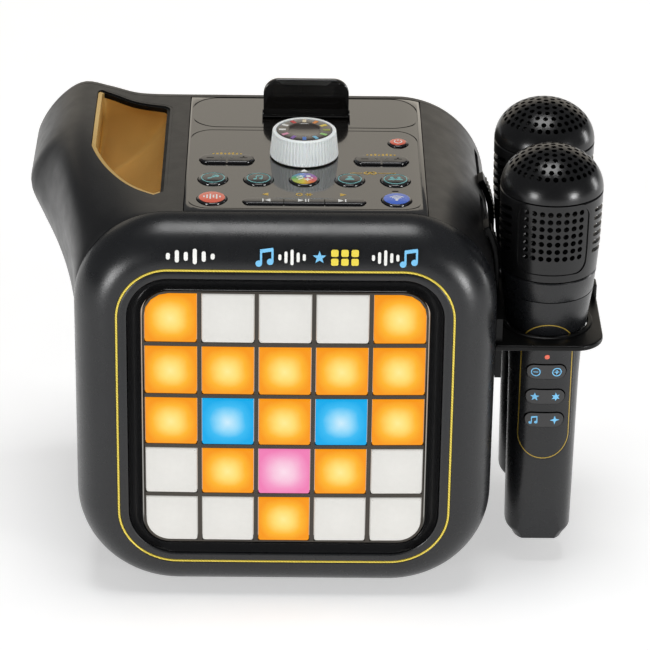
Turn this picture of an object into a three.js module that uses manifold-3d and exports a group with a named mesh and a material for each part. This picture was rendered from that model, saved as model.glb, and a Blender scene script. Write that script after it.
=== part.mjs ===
// Toy karaoke speaker with a lighted 5 x 5 tile front, a control deck on top, a gold-lined grip pocket
// in its left shoulder, and two cordless microphones hung in a holder on its right side.
//
// Millimetres, +Z up. The front faces -Y. Sizes below are given in a working frame whose X = 0 is the
// middle of the speaker box, whose Y = 0 is the front edge of the bezel and whose Z = 0 is the table.
// The exported group then moves that frame so that the origin is under the middle of the whole object.

import * as THREE from "three";
import { mergeVertices } from "three/addons/utils/BufferGeometryUtils.js";
import Module from "manifold-3d";

const wasm = await Module();
wasm.setup();

// ---------------------------------------------------------------- driving dimensions

const GAP = 0.3; // between pieces that are fixed to each other
const RUN = 0.5; // round a key that travels

const BOX = {
  halfWidth: 106,
  bottom: 3, // the feet lift the box this much
  top: 209,
  topRadius: 48,
  bottomRadius: 52,
  wall: 3,
  seam: 20, // where the bezel meets the housing, in Y
  back: 166, // where the rear cover meets the housing, in Y
};
const HALF_HEIGHT = (BOX.top - BOX.bottom) / 2;
const TILES = { count: 5, pitch: 28.5, size: 25.8, cornerRadius: 12, frame: 1 };
const GRID_HALF = ((TILES.count - 1) / 2) * TILES.pitch + TILES.size / 2 + GAP + TILES.frame;
const SURROUND = { cove: 6.6, rise: 0.92, cornerRadius: 13.6 };
// How far in the bezel's window starts from the box's side: the surround and the grid fill the rest.
const WINDOW = BOX.halfWidth - GRID_HALF - SURROUND.cove - 1;
const BEZEL = { bulge: 6, inset: WINDOW - 7.2, groove: WINDOW - 5.9, cornerLoss: 27.2, drop: 1.7 };
// How far the bezel comes in from the top and bottom for each unit that it comes in from the sides.
const RISE = (HALF_HEIGHT - GRID_HALF - SURROUND.cove - 0.176) / WINDOW;
const DECK = { left: -BOX.halfWidth + 55, right: BOX.halfWidth - 35.5, thickness: 3 };
const PANEL = { x: 8.9, pitch: 23.05, bar: 32, rowB: 35, rowA: 58.7, rowC: 83, power: [57.5, 105.8] };
const BUTTON = { radius: 7.4, smallRadius: 5, proud: 1.4, flange: 1.4, travel: 1.2 };
const BAR = { length: 61, width: 6.4, proud: 1, gap: 0.4 };
const ROCKER = { length: 27.6, width: 9.6, proud: 1.4 };
const KNOB = { y: 90.3, bottomRadius: 17.6, topRadius: 16.4, height: 13.5, lift: 0.8, shaft: 3 };
const FLAP = { x: 10, y: 148, width: 45, height: 18.5, thickness: 2.6, barrel: 1.3, pin: 0.9, corner: 8 };
const WING = { fullFrom: 112, railStart: 20, railLength: 108 };
const POCKET = { floor: 170, wall: 2, rim: 1.2, scoop: 1.9 };
const SEAT_TOP = BOX.top - 72; // the upper face of the holder's plate
const MIC_FOOT = SEAT_TOP - 121.5; // a docked microphone hangs in its seat, clear of the floor
const HEAD_RADIUS = 26;
const MIC = {
  x: BOX.halfWidth + HEAD_RADIUS + 1.4,
  rows: [HEAD_RADIUS + 22.6, 3 * HEAD_RADIUS + 30.6],
  bottom: MIC_FOOT,
  handleTop: MIC_FOOT + 141.5,
  neckTop: MIC_FOOT + 152.9,
  bandTop: MIC_FOOT + 196,
  top: MIC_FOOT + 217.5,
  headRadius: HEAD_RADIUS,
  neckRadius: 24.4,
  wall: 2,
  flatTop: MIC_FOOT + 26.5, // height of the top of the thumb flat at the foot
  tilt: 7.2, // degrees that the flat leans in
  footWaist: 0.84, // width of the foot's bevelled sole, as a share of its depth
};
// Radius of a handle at each height above its foot: a bevel, a slow taper, and the flare under the head.
const HANDLE_PROFILE = [
  [0, 16],
  [5.5, 17],
  [26.5, 17.3],
  [62.5, 17.6],
  [96.5, 18],
  [112.5, 19],
  [121.5, 20.8],
  [132.5, 21.9],
  [141.5, 23.2],
];
const MIC_KEY = { length: 20, width: 8, levels: [100.5, 86, 72.5], proud: 0.7 }; // levels above the foot
const HOLDER = {
  left: BOX.halfWidth + 0.4,
  right: MIC.x + 28,
  front: BOX.seam - 2.5,
  back: MIC.rows[1] + 31.4,
  top: SEAT_TOP,
  thickness: 3,
  play: 0.4, // round a handle in its seat
  armFront: 55,
  armRear: 113,
  armWidth: 11,
  slide: 34,
};
const SPEAKER = { x: 0, z: 112, radius: 38, cone: 33 };
const FOOT = { radius: 8, x: 44, front: 36, rear: 146 };
const DOOR = { x: 45, front: 65, back: 125, lip: 3, plate: 1.3 };

const BOARD_TOP = BOX.top - DECK.thickness - 8.4; // upper face of the key board under the deck

// ---------------------------------------------------------------- manifold helpers

// A closed BufferGeometry as a manifold-3d solid with its faces pointing out.
function solid(geometry) {
  const bare = geometry.clone();
  bare.deleteAttribute("normal");
  bare.deleteAttribute("uv");
  const merged = mergeVertices(bare, 1e-4);
  const vertProperties = merged.attributes.position.array;
  const triVerts = new Uint32Array(merged.index.array);
  const made = new wasm.Manifold(new wasm.Mesh({ numProp: 3, vertProperties, triVerts }));
  if (made.volume() > 0) return made;
  for (let i = 0; i < triVerts.length; i += 3) {
    [triVerts[i + 1], triVerts[i + 2]] = [triVerts[i + 2], triVerts[i + 1]];
  }
  return new wasm.Manifold(new wasm.Mesh({ numProp: 3, vertProperties, triVerts }));
}

// A manifold-3d solid as a BufferGeometry.
function geometryOf(made) {
  const mesh = made.getMesh();
  const position = new Float32Array(mesh.numVert * 3);
  for (let i = 0; i < mesh.numVert; i++) {
    position.set(mesh.vertProperties.subarray(i * mesh.numProp, i * mesh.numProp + 3), i * 3);
  }
  const geometry = new THREE.BufferGeometry();
  geometry.setAttribute("position", new THREE.BufferAttribute(position, 3));
  geometry.setIndex(new THREE.BufferAttribute(mesh.triVerts, 1));
  geometry.computeVertexNormals();
  return geometry;
}

const addAll = (solids) => solids.reduce((sum, one) => sum.add(one));
const cutAll = (made, cutters) => cutters.reduce((rest, one) => rest.subtract(one), made);

// ---------------------------------------------------------------- shape helpers

// A box between two corners.
function box(low, high) {
  const size = high.map((value, i) => value - low[i]);
  const geometry = new THREE.BoxGeometry(...size);
  geometry.translate(...low.map((value, i) => value + size[i] / 2));
  return solid(geometry);
}

// A cylinder from one point to another along one axis.
function rod(axis, centre, radius, from, to, segments = 24) {
  const geometry = new THREE.CylinderGeometry(radius, radius, to - from, segments);
  const middle = (from + to) / 2;
  if (axis === "x") geometry.rotateZ(-Math.PI / 2).translate(middle, centre[0], centre[1]);
  if (axis === "y") geometry.translate(centre[0], middle, centre[1]);
  if (axis === "z") geometry.rotateX(Math.PI / 2).translate(centre[0], centre[1], middle);
  return solid(geometry);
}

// A body turned about a vertical axis; profile is [radius, z] pairs and closes on itself.
function turned(profile, x, y, segments = 28) {
  const points = [...profile, profile[0]].map(([r, z]) => new THREE.Vector2(r, z));
  const geometry = new THREE.LatheGeometry(points, segments);
  geometry.rotateX(Math.PI / 2).translate(x, y, 0);
  return solid(geometry);
}

// A rectangle with round corners, as a Shape centred on the origin.
function roundedRectangle(width, height, radius) {
  const [w, h, r] = [width / 2, height / 2, Math.min(radius, width / 2, height / 2)];
  const shape = new THREE.Shape();
  shape.moveTo(-w + r, -h);
  shape.lineTo(w - r, -h).absarc(w - r, -h + r, r, -Math.PI / 2, 0);
  shape.lineTo(w, h - r).absarc(w - r, h - r, r, 0, Math.PI / 2);
  shape.lineTo(-w + r, h).absarc(-w + r, h - r, r, Math.PI / 2, Math.PI);
  shape.lineTo(-w, -h + r).absarc(-w + r, -h + r, r, Math.PI, 1.5 * Math.PI);
  return shape;
}

// A shape in the XY plane, extruded from one height to another.
function prism(shape, x, y, from, to, curveSegments = 5) {
  const geometry = new THREE.ExtrudeGeometry(shape, {
    depth: to - from,
    bevelEnabled: false,
    curveSegments,
  });
  return solid(geometry.translate(x, y, from));
}

// A shape drawn in X and Z, extruded along Y from the front value to the back one.
function slab(shape, x, z, front, back, curveSegments = 5) {
  const geometry = new THREE.ExtrudeGeometry(shape, {
    depth: back - front,
    bevelEnabled: false,
    curveSegments,
  });
  return solid(geometry.rotateX(Math.PI / 2).translate(x, back, z));
}

// Skin over slices of equal point counts; each slice is a list of [x, y, z].
// A ring of slices closes on itself, and an open stack is capped, flat in the two axes named.
function skin(slices, { ring = false, capAxes = [0, 2] } = {}) {
  const count = slices[0].length;
  const steps = ring ? slices.length : slices.length - 1;
  const indices = [];
  for (let i = 0; i < steps; i++) {
    for (let j = 0; j < count; j++) {
      const [a, b] = [i * count + j, i * count + ((j + 1) % count)];
      const next = ((i + 1) % slices.length) * count;
      const [c, d] = [next + j, next + ((j + 1) % count)];
      indices.push(a, b, d, a, d, c);
    }
  }
  if (!ring) {
    const flat = (slice) => slice.map((p) => new THREE.Vector2(p[capAxes[0]], p[capAxes[1]]));
    const last = (slices.length - 1) * count;
    const turnsLeft = THREE.ShapeUtils.isClockWise(flat(slices[0])) ? -1 : 1;
    for (const face of THREE.ShapeUtils.triangulateShape(flat(slices[0]), [])) {
      const [a, b, c] = facing(face, flat(slices[0]), turnsLeft);
      indices.push(a, c, b);
    }
    for (const face of THREE.ShapeUtils.triangulateShape(flat(slices.at(-1)), [])) {
      const [a, b, c] = facing(face, flat(slices.at(-1)), turnsLeft);
      indices.push(last + a, last + b, last + c);
    }
  }
  const geometry = new THREE.BufferGeometry();
  geometry.setAttribute("position", new THREE.Float32BufferAttribute(slices.flat(2), 3));
  geometry.setIndex(indices);
  return solid(geometry);
}

// A cap triangle, turned the same way round as the outline that it fills.
function facing([a, b, c], points, turnsLeft) {
  const [p, q, r] = [points[a], points[b], points[c]];
  const area = (q.x - p.x) * (r.y - p.y) - (r.x - p.x) * (q.y - p.y);
  return area * turnsLeft > 0 ? [a, b, c] : [a, c, b];
}

// Points of a closed outline moved inwards by a distance, along the mean of their two edges' normals.
function inset(points, distance) {
  const area = points.reduce((sum, [x, z], i) => {
    const [u, w] = points[(i + 1) % points.length];
    return sum + x * w - u * z;
  }, 0);
  const side = area > 0 ? 1 : -1;
  return points.map(([x, z], i) => {
    const before = points[(i + points.length - 1) % points.length];
    const after = points[(i + 1) % points.length];
    const into = new THREE.Vector2(x - before[0], z - before[1]).normalize();
    const out = new THREE.Vector2(after[0] - x, after[1] - z).normalize();
    const along = into.clone().add(out).normalize();
    const reach = distance / Math.max(0.5, along.dot(out));
    return [x - along.y * reach * side, z + along.x * reach * side];
  });
}

const smooth = (low, high, value) => THREE.MathUtils.smoothstep(value, low, high);

// ---------------------------------------------------------------- the box and its flared shoulder

const SHOULDER_POINTS = 14;

// The plain upper left corner: along the top, round the corner and down the side.
function plainShoulder() {
  const { halfWidth, top, topRadius } = BOX;
  const path = new THREE.Path();
  path.moveTo(-halfWidth + topRadius + 4, top);
  path.lineTo(-halfWidth + topRadius, top);
  path.absarc(-halfWidth + topRadius, top - topRadius, topRadius, Math.PI / 2, Math.PI);
  path.lineTo(-halfWidth, top - 114);
  return path.getSpacedPoints(SHOULDER_POINTS);
}

// The same corner where it swells into the grip: a raised rim, an outward bulge, and an undercut.
function flaredShoulder() {
  const { halfWidth, top, topRadius } = BOX;
  const side = -halfWidth;
  const control = [
    [side + topRadius + 4, top],
    [side + 28, top + 0.6],
    [side + 12, top + 4.6],
    [side - 2, top + 7],
    [side - 14, top - 0.5],
    [side - 24, top - 14],
    [side - 27.5, top - 27],
    [side - 21.5, top - 43],
    [side - 14, top - 60],
    [side - 6, top - 82],
    [side, top - 114],
  ];
  const curve = new THREE.SplineCurve(control.map(([x, z]) => new THREE.Vector2(x, z)));
  return curve.getSpacedPoints(SHOULDER_POINTS);
}

const PLAIN = plainShoulder();
const FLARED = flaredShoulder();

// How far the shoulder has swollen at depth y: the rim leads, and the bulge below it follows.
function swell(y, share) {
  const turn = THREE.MathUtils.clamp((y - WING.railStart) / WING.railLength, 0, 1);
  const rim = Math.pow(Math.sin((Math.PI / 2) * turn), 0.75);
  const along = THREE.MathUtils.clamp((y - BOX.seam) / (WING.fullFrom - BOX.seam), 0, 1);
  return THREE.MathUtils.lerp(rim, along * along, smooth(0.3, 0.55, share));
}

// The box's outline in X and Z at depth y, anticlockwise from the lower right.
function outline(y) {
  const { halfWidth, bottom, top, topRadius, bottomRadius } = BOX;
  const points = [];
  const arc = (x, z, radius, from, steps) => {
    for (let i = 0; i <= steps; i++) {
      const angle = from + (i / steps) * (Math.PI / 2);
      points.push([x + radius * Math.cos(angle), z + radius * Math.sin(angle)]);
    }
  };
  arc(halfWidth - bottomRadius, bottom + bottomRadius, bottomRadius, -Math.PI / 2, 5);
  arc(halfWidth - topRadius, top - topRadius, topRadius, 0, 7);
  for (let i = 0; i <= SHOULDER_POINTS; i++) {
    const share = i / SHOULDER_POINTS;
    const mixed = PLAIN[i].clone().lerp(FLARED[i], swell(y, share));
    points.push([mixed.x, mixed.y]);
  }
  arc(-halfWidth + bottomRadius, bottom + bottomRadius, bottomRadius, Math.PI, 5);
  return points;
}

const slice = (y, points) => points.map(([x, z]) => [x, y, z]);

// The solid that the housing's outer skin encloses, less a margin.
function boxBody(depths, margin) {
  return skin(depths.map((y) => slice(y, margin ? inset(outline(y), margin) : outline(y))));
}

const HOUSING_DEPTHS = [20, 26, 36, 50, 66, 82, 98, 112, 124, 166];
const HOLLOW_DEPTHS = [19, 36, 66, 98, 124, 167];

// The plan of the pocket's mouth, anticlockwise, moved outwards by a margin.
function pocketPlan(lean, margin) {
  // lean runs from 0 at the mouth to 1 at the floor, where the pocket is narrower and further left
  const lerp = THREE.MathUtils.lerp;
  const side = -BOX.halfWidth;
  const right = side + lerp(43.5, 9, lean);
  const left = side + lerp(8, 3, lean);
  const front = lerp(46, 90, lean);
  const back = lerp(152, 148, lean);
  const bow = lerp(45, 18, lean);
  const pull = lerp(8, 2, lean);
  const shape = new THREE.Shape();
  const turn = lerp(4, 2, lean);
  const slant = lerp(8, 0, lean); // how much further back the rear edge is at its outer end
  const slope = slant / (right - left);
  shape.moveTo(right, front);
  shape.lineTo(right, back - turn);
  shape.quadraticCurveTo(right, back, right - turn, back + slope * turn);
  shape.lineTo(left + turn, back + slant - slope * turn);
  shape.quadraticCurveTo(left, back + slant, left, back + slant - turn);
  shape.lineTo(left, front + bow);
  shape.quadraticCurveTo(left + pull, front + 2 * pull, right - turn, front - 3);
  const corners = shape.getPoints(5).map((p) => [p.x, p.y]);
  return inset(corners, -margin);
}

// The pocket's hollow, or the outside of the liner round it, as a funnel that deepens to the left.
function pocketFunnel(margin, floor, upTo) {
  const levels = [0, 0.3, 0.5, 0.7, 0.85, 1];
  const mouth = BOX.top - 2;
  const slices = levels.map((share) => {
    const lean = Math.pow(share, POCKET.scoop);
    return pocketPlan(lean, margin).map(([x, y]) => [x, y, mouth + (floor - mouth) * share]);
  });
  const above = pocketPlan(0, margin).map(([x, y]) => [x, y, upTo]);
  return skin([above, ...slices], { capAxes: [0, 1] });
}

function mainHousing() {
  const { wall, top, bottom } = BOX;
  const shell = boxBody(HOUSING_DEPTHS, 0).subtract(innerHollow(wall));
  const deckHole = box(
    [DECK.left - GAP, -1, top - DECK.thickness - 1.4],
    [DECK.right + GAP, 400, top + 1]
  );
  const door = doorBlock(GAP, -1, bottom + DOOR.plate + GAP);
  const bay = doorBlock(GAP - DOOR.lip, bottom, bottom + wall + 1);
  const pocket = pocketFunnel(POCKET.wall + GAP, POCKET.floor - POCKET.wall - GAP, top + 20);
  const slots = holderArmSpans().map(([front, back]) => lugHole(front, back));
  return cutAll(shell.add(deckLedges()), [deckHole, door, bay, pocket, ...slots]);
}

function innerHollow(wall) {
  return boxBody(HOLLOW_DEPTHS, wall);
}

// Two hooked rails inside the housing that the deck's long edges rest on.
function deckLedges() {
  const { top } = BOX;
  const rail = (from, to, height) => box([from, 30, top - 9.5], [to, 156, top - height]);
  const lip = DECK.thickness + 1.7;
  const left = rail(DECK.left - 4, DECK.left + 3, lip).add(rail(DECK.left - 4, DECK.left - 1, 2));
  const right = rail(DECK.right - 0.9, DECK.right + 3, lip).add(rail(DECK.right + 0.7, DECK.right + 4, 3));
  return left.add(right).intersect(boxBody([29, 46, 72, 100, 122, 157], 1));
}

function handleLiner() {
  const { wall, floor, rim } = POCKET;
  const outside = pocketFunnel(wall, floor - wall, BOX.top + 20);
  const hollow = pocketFunnel(0, floor, BOX.top + 21);
  return outside.subtract(hollow).intersect(boxBody(HOUSING_DEPTHS, rim));
}

function rearCover() {
  const rim = (y, margin) => slice(y, inset(outline(BOX.back), margin));
  const plate = skin([
    rim(BOX.back + GAP, 0.01),
    rim(BOX.back + 3, 0.01),
    rim(BOX.back + 5, 0.9),
    rim(BOX.back + 6, 3),
  ]);
  const mouth = rod("y", [SPEAKER.x, SPEAKER.z], SPEAKER.radius, 160, 180, 28);
  const recesses = screwPlaces().map((place) => {
    return rod("y", place, 3.6, BOX.back + 3, BOX.back + 8, 12);
  });
  const port = slab(roundedRectangle(13, 6, 2), -52, 44, BOX.back - 2, BOX.back + 10);
  return cutAll(plate, [mouth, port, ...recesses]);
}

// Where the rear cover is screwed on, in X and Z.
function screwPlaces() {
  return [
    [22 - BOX.halfWidth, BOX.bottom + 27],
    [BOX.halfWidth - 22, BOX.bottom + 27],
    [BOX.halfWidth - 20, BOX.top - 39],
    [22 - BOX.halfWidth, BOX.top - 59],
  ];
}

// ---------------------------------------------------------------- front: bezel, trim, tiles

// How far the pillowed front stands out at a point; it fades towards the edges.
function bulge(x, z) {
  const middle = (BOX.top + BOX.bottom) / 2;
  const up = (z - middle) / (HALF_HEIGHT + 1);
  const across = x / (BOX.halfWidth + 1);
  return BEZEL.bulge * Math.max(0, 1 - up * up) * (1 - 0.35 * across * across);
}

// The outline of the front at a distance in from the box's edge, with points shared by every distance.
function frontOutline(distance) {
  const side = BOX.halfWidth - distance;
  const middle = (BOX.top + BOX.bottom) / 2 - BEZEL.drop * smooth(0, BEZEL.inset, distance);
  const tall =
    HALF_HEIGHT - RISE * Math.min(distance, WINDOW) - SURROUND.rise * Math.max(0, distance - WINDOW);
  const points = [];
  const corner = (sx, sz, from, radius) => {
    const steps = 6;
    for (let i = 0; i <= steps; i++) {
      const angle = from + (i / steps) * (Math.PI / 2);
      points.push([
        sx * (side - radius) + radius * Math.cos(angle),
        middle + sz * (tall - radius) + radius * Math.sin(angle),
      ]);
    }
  };
  const run = (ahead) => {
    const from = points.at(-1);
    for (let i = 1; i < 4; i++) {
      points.push([from[0] + ((ahead[0] - from[0]) * i) / 4, from[1] + ((ahead[1] - from[1]) * i) / 4]);
    }
  };
  const past = Math.max(0, distance - WINDOW) / (SURROUND.cove + GAP);
  const rounding = (radius) => {
    const here = radius - BEZEL.cornerLoss * Math.min(distance / WINDOW, 1);
    return THREE.MathUtils.lerp(here, SURROUND.cornerRadius, past);
  };
  const upper = rounding(BOX.topRadius);
  const lower = rounding(BOX.bottomRadius);
  corner(1, -1, -Math.PI / 2, lower);
  run([side, middle + tall - upper]);
  corner(1, 1, 0, upper);
  run([-side + upper, middle + tall]);
  corner(-1, 1, Math.PI / 2, upper);
  run([-side, middle - tall + lower]);
  corner(-1, -1, Math.PI, lower);
  run([side - lower, middle - tall]);
  return points;
}

// A frame that runs round the front: its section is [distance in from the edge, y] pairs.
function frontRing(section) {
  const outlines = section.map(([distance]) => frontOutline(distance));
  const slices = outlines[0].map((_, i) =>
    section.map(([, y], j) => {
      const [x, z] = outlines[j][i];
      const share = Math.max(0, 1 - y / BOX.seam);
      return [x, y - bulge(x, z) * share, z];
    })
  );
  return skin(slices, { ring: true });
}

function frontBezel() {
  const { inset: reach, groove: start } = BEZEL;
  const outer = [0, 20, 40, 60, 90].map((degrees) => {
    const angle = THREE.MathUtils.degToRad(degrees);
    return [reach * (1 - Math.cos(angle)), (BOX.seam - GAP) * (1 - Math.sin(angle))];
  });
  const groove = [
    [start, 0],
    [start, 0.9],
    [start + 1.6, 0.9],
    [start + 1.6, 0],
  ];
  const inner = [
    [WINDOW, 0.3],
    [WINDOW, 8],
    [reach, 3.4],
    [reach * 0.45, 6.5],
    [3, BOX.seam - GAP],
  ];
  return frontRing([...outer, ...groove, ...inner]);
}

function bezelTrim() {
  const start = BEZEL.groove + GAP;
  return frontRing([
    [start, -0.15],
    [start + 1, -0.15],
    [start + 1, 0.6],
    [start, 0.6],
  ]);
}

function displaySurround() {
  const edge = WINDOW + GAP;
  return frontRing([
    [edge, 1.4],
    [edge + 3, 3.8],
    [edge + SURROUND.cove, 1.2],
    [edge + SURROUND.cove, 8],
    [edge, 8],
  ]);
}

const DISPLAY_Z = (BOX.top + BOX.bottom) / 2 - BEZEL.drop;

// The middle of each tile in X and Z, row by row from the top left.
function tilePlaces() {
  const half = (TILES.count - 1) / 2;
  const places = [];
  for (let row = 0; row < TILES.count; row++) {
    for (let column = 0; column < TILES.count; column++) {
      const x = (column - half) * TILES.pitch;
      const z = DISPLAY_Z + (half - row) * TILES.pitch;
      places.push({ x, z, row, column });
    }
  }
  return places;
}

// A tile's outline: square, with a large round corner where it fills a corner of the display.
function tileShape({ row, column }, grow) {
  const last = TILES.count - 1;
  const half = TILES.size / 2 + grow;
  const radius = TILES.cornerRadius + grow;
  const corners = [
    [1, -1, row === last && column === last],
    [1, 1, row === 0 && column === last],
    [-1, 1, row === 0 && column === 0],
    [-1, -1, row === last && column === 0],
  ];
  const points = [];
  corners.forEach(([sx, sz, isRound], i) => {
    if (!isRound) points.push(new THREE.Vector2(sx * half, sz * half));
    for (let k = 0; isRound && k <= 4; k++) {
      const angle = (i - 1 + k / 4) * (Math.PI / 2);
      const [cx, cz] = [sx * (half - radius), sz * (half - radius)];
      points.push(new THREE.Vector2(cx + radius * Math.cos(angle), cz + radius * Math.sin(angle)));
    }
  });
  return points;
}

// Shifts a solid's front points out to follow the pillowed front; points behind the limit stay.
function pillowed(made, limit) {
  const geometry = geometryOf(made);
  const position = geometry.attributes.position;
  for (let i = 0; i < position.count; i++) {
    const [x, y, z] = [position.getX(i), position.getY(i), position.getZ(i)];
    if (y < limit) position.setY(i, y - bulge(x, z));
  }
  return solid(geometry);
}

function gridFrame() {
  const shape = roundedRectangle(2 * GRID_HALF, 2 * GRID_HALF, TILES.cornerRadius + GAP + TILES.frame);
  const holes = tilePlaces().map((place) => {
    return slab(new THREE.Shape(tileShape(place, GAP)), place.x, place.z, 0, 6);
  });
  return pillowed(cutAll(slab(shape, 0, DISPLAY_Z, 1.2, 5, 4), holes), 20);
}

function lightDiffuser() {
  const side = 2 * GRID_HALF + 4;
  const base = slab(roundedRectangle(side, side, 15), 0, DISPLAY_Z, 8.6, 10.6, 4);
  const pads = tilePlaces().map((place) => {
    return slab(new THREE.Shape(tileShape(place, 0)), place.x, place.z, 0.7, 9, 4);
  });
  return pillowed(addAll([base, ...pads]), 5);
}

function ledBoard() {
  const side = 2 * GRID_HALF + 7.6;
  const board = slab(roundedRectangle(side, side, 6), 0, DISPLAY_Z, 16, 17.6, 3);
  const lamps = tilePlaces().map(({ x, z }) => box([x - 2.5, 14.4, z - 2.5], [x + 2.5, 16.2, z + 2.5]));
  return addAll([board, ...lamps]);
}

// ---------------------------------------------------------------- top: deck, keys, knob, phone rest

// The round buttons' places: five across, two below at the ends, and power at the back right.
function buttonPlaces() {
  const across = (step) => PANEL.x + step * PANEL.pitch;
  return {
    button_voice: [across(-2), PANEL.rowA],
    button_music: [across(-1), PANEL.rowA],
    button_lights: [across(0), PANEL.rowA],
    button_one_player: [across(1), PANEL.rowA],
    button_two_players: [across(2), PANEL.rowA],
    button_effects: [across(-2), PANEL.rowB],
    button_wireless: [across(2), PANEL.rowB],
    button_power: PANEL.power,
  };
}

// Power is the one small button.
const buttonRadius = (name) => (name === "button_power" ? BUTTON.smallRadius : BUTTON.radius);

const ROCKER_PLACES = {
  rocker_reverb: [PANEL.x - 39.5, PANEL.rowC],
  rocker_volume: [PANEL.x + 39.5, PANEL.rowC],
};

// The opening that the phone rest stands in, with room in front of it to fold down.
function flapHole() {
  const { x, y, width, height, barrel } = FLAP;
  return box(
    [x - width / 2 - RUN, y - height - 2.4, BOX.top - DECK.thickness - 1.2],
    [x + width / 2 + RUN, y + barrel + GAP, BOX.top + 2]
  );
}

function topDeck() {
  const { top, seam, back } = BOX;
  const under = top - DECK.thickness;
  const blank = box([DECK.left, seam + GAP, under], [DECK.right, back - GAP, top + 1]);
  const outside = skin([seam, back].map((y) => slice(y, outline(BOX.seam))));
  const plate = blank.intersect(outside);
  const { x, y, width, height, barrel, pin } = FLAP;
  const pan = box(
    [x - width / 2 - 3, y - height - 5, under - 2.6],
    [x + width / 2 + 3, y + barrel + 3, under + 0.5]
  );
  const holes = Object.entries(buttonPlaces()).map(([name, place]) =>
    rod("z", place, buttonRadius(name) + RUN, under - 1, top + 2, 20)
  );
  const pill = ({ length, width }) => roundedRectangle(length + 2 * RUN, width + 2 * RUN, 9);
  const barHole = prism(pill(BAR), PANEL.x, PANEL.bar, under - 1, top + 2);
  const rockerHoles = Object.values(ROCKER_PLACES).map(([cx, cy]) =>
    prism(pill(ROCKER), cx, cy, under - 1, top + 2)
  );
  const shaftHole = rod("z", [PANEL.x, KNOB.y], KNOB.shaft + 0.6, under - 1, top + 2, 16);
  const pinHole = rod("x", [y, top - 2], pin + 0.25, x - width / 2 - 2.6, x + width / 2 + 2.6, 12);
  return cutAll(plate.add(pan), [flapHole(), pinHole, shaftHole, barHole, ...holes, ...rockerHoles]);
}

// A round button: a domed cap above the deck, a flange that keeps it in, and a stem to the board.
function roundButton([x, y], radius) {
  const { proud, travel } = BUTTON;
  const flange = radius + BUTTON.flange;
  const under = BOX.top - DECK.thickness - 0.4;
  return turned(
    [
      [0, BOARD_TOP + travel + 0.5],
      [3, BOARD_TOP + travel + 0.5],
      [3, under - 1.4],
      [flange, under - 1.4],
      [flange, under],
      [radius, under],
      [radius, BOX.top + proud - 0.5],
      [0, BOX.top + proud],
    ],
    x, y, 16
  );
}

// One of the three keys that share the long slot: -1 is the left one, 0 the middle and 1 the right.
function barKey(position) {
  const third = BAR.length / 3;
  const under = BOX.top - DECK.thickness - 0.4;
  const { length, width, proud } = BAR;
  const whole = prism(roundedRectangle(length, width, 9), PANEL.x, PANEL.bar, under, BOX.top + proud);
  const flange = roundedRectangle(length + 4, width + 4, 9);
  const ends = prism(flange, PANEL.x, PANEL.bar, under - 1.4, under + 0.01);
  const middle = PANEL.x + position * third;
  const reach = third / 2 + (position ? 6 : 0);
  const left = position === -1 ? middle - reach : middle - third / 2 + BAR.gap / 2;
  const right = position === 1 ? middle + reach : middle + third / 2 - BAR.gap / 2;
  const cell = box([left, PANEL.bar - 20, under - 3], [right, PANEL.bar + 20, BOX.top + 10]);
  const stem = rod("z", [middle, PANEL.bar], 2.5, BOARD_TOP + BUTTON.travel + 0.5, under, 12);
  return whole.add(ends).intersect(cell).add(stem);
}

// A two-way rocker: a pill-shaped key on a pivot bar that runs front to back.
function rocker([x, y]) {
  const pivot = BOX.top - DECK.thickness - 1.9;
  const key = prism(
    roundedRectangle(ROCKER.length, ROCKER.width, 9),
    x, y, pivot, BOX.top + ROCKER.proud
  );
  const bar = rod("y", [x, pivot], 1.4, y - 8, y + 8, 12);
  const groove = box([x - 0.5, y - 10, BOX.top + ROCKER.proud - 0.8], [x + 0.5, y + 10, BOX.top + 9]);
  return key.add(bar).subtract(groove);
}

function knobSkirt() {
  const { bottomRadius, topRadius, height, lift, shaft } = KNOB;
  const base = BOX.top + lift;
  return turned(
    [
      [bottomRadius - 2, base],
      [bottomRadius, base],
      [topRadius, base + height - 1],
      [topRadius - 1, base + height],
      [topRadius - 2, base + height],
      [topRadius - 2, base + height - 3],
      [shaft + GAP, base + height - 3],
      [shaft + GAP, base + 2],
      [shaft + 3, base + 2],
      [shaft + 3, base + height - 5],
      [bottomRadius - 3, base + height - 5],
    ],
    PANEL.x, KNOB.y, 30
  );
}

function knobCap() {
  const { topRadius, height, lift } = KNOB;
  const base = BOX.top + lift + height;
  return turned(
    [
      [0, base - 2.6],
      [topRadius - 2.3, base - 2.6],
      [topRadius - 2.3, base - 0.2],
      [8.4, base],
      [7.2, base - 0.8],
      [0, base - 1.1],
    ],
    PANEL.x, KNOB.y, 24
  );
}

function encoderShaft() {
  const base = BOX.top + KNOB.lift + KNOB.height;
  return rod("z", [PANEL.x, KNOB.y], KNOB.shaft, BOARD_TOP + 6.4, base - 3.2, 16);
}

function encoderBody() {
  const [x, y] = [PANEL.x, KNOB.y];
  const low = BOARD_TOP + GAP;
  return box([x - 6, y - 6, low], [x + 6, y + 6, low + 5.4]);
}

function buttonBoard() {
  return box([DECK.left + 8, 26, BOARD_TOP - 1.6], [DECK.right - 10.5, 121, BOARD_TOP]);
}

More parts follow.
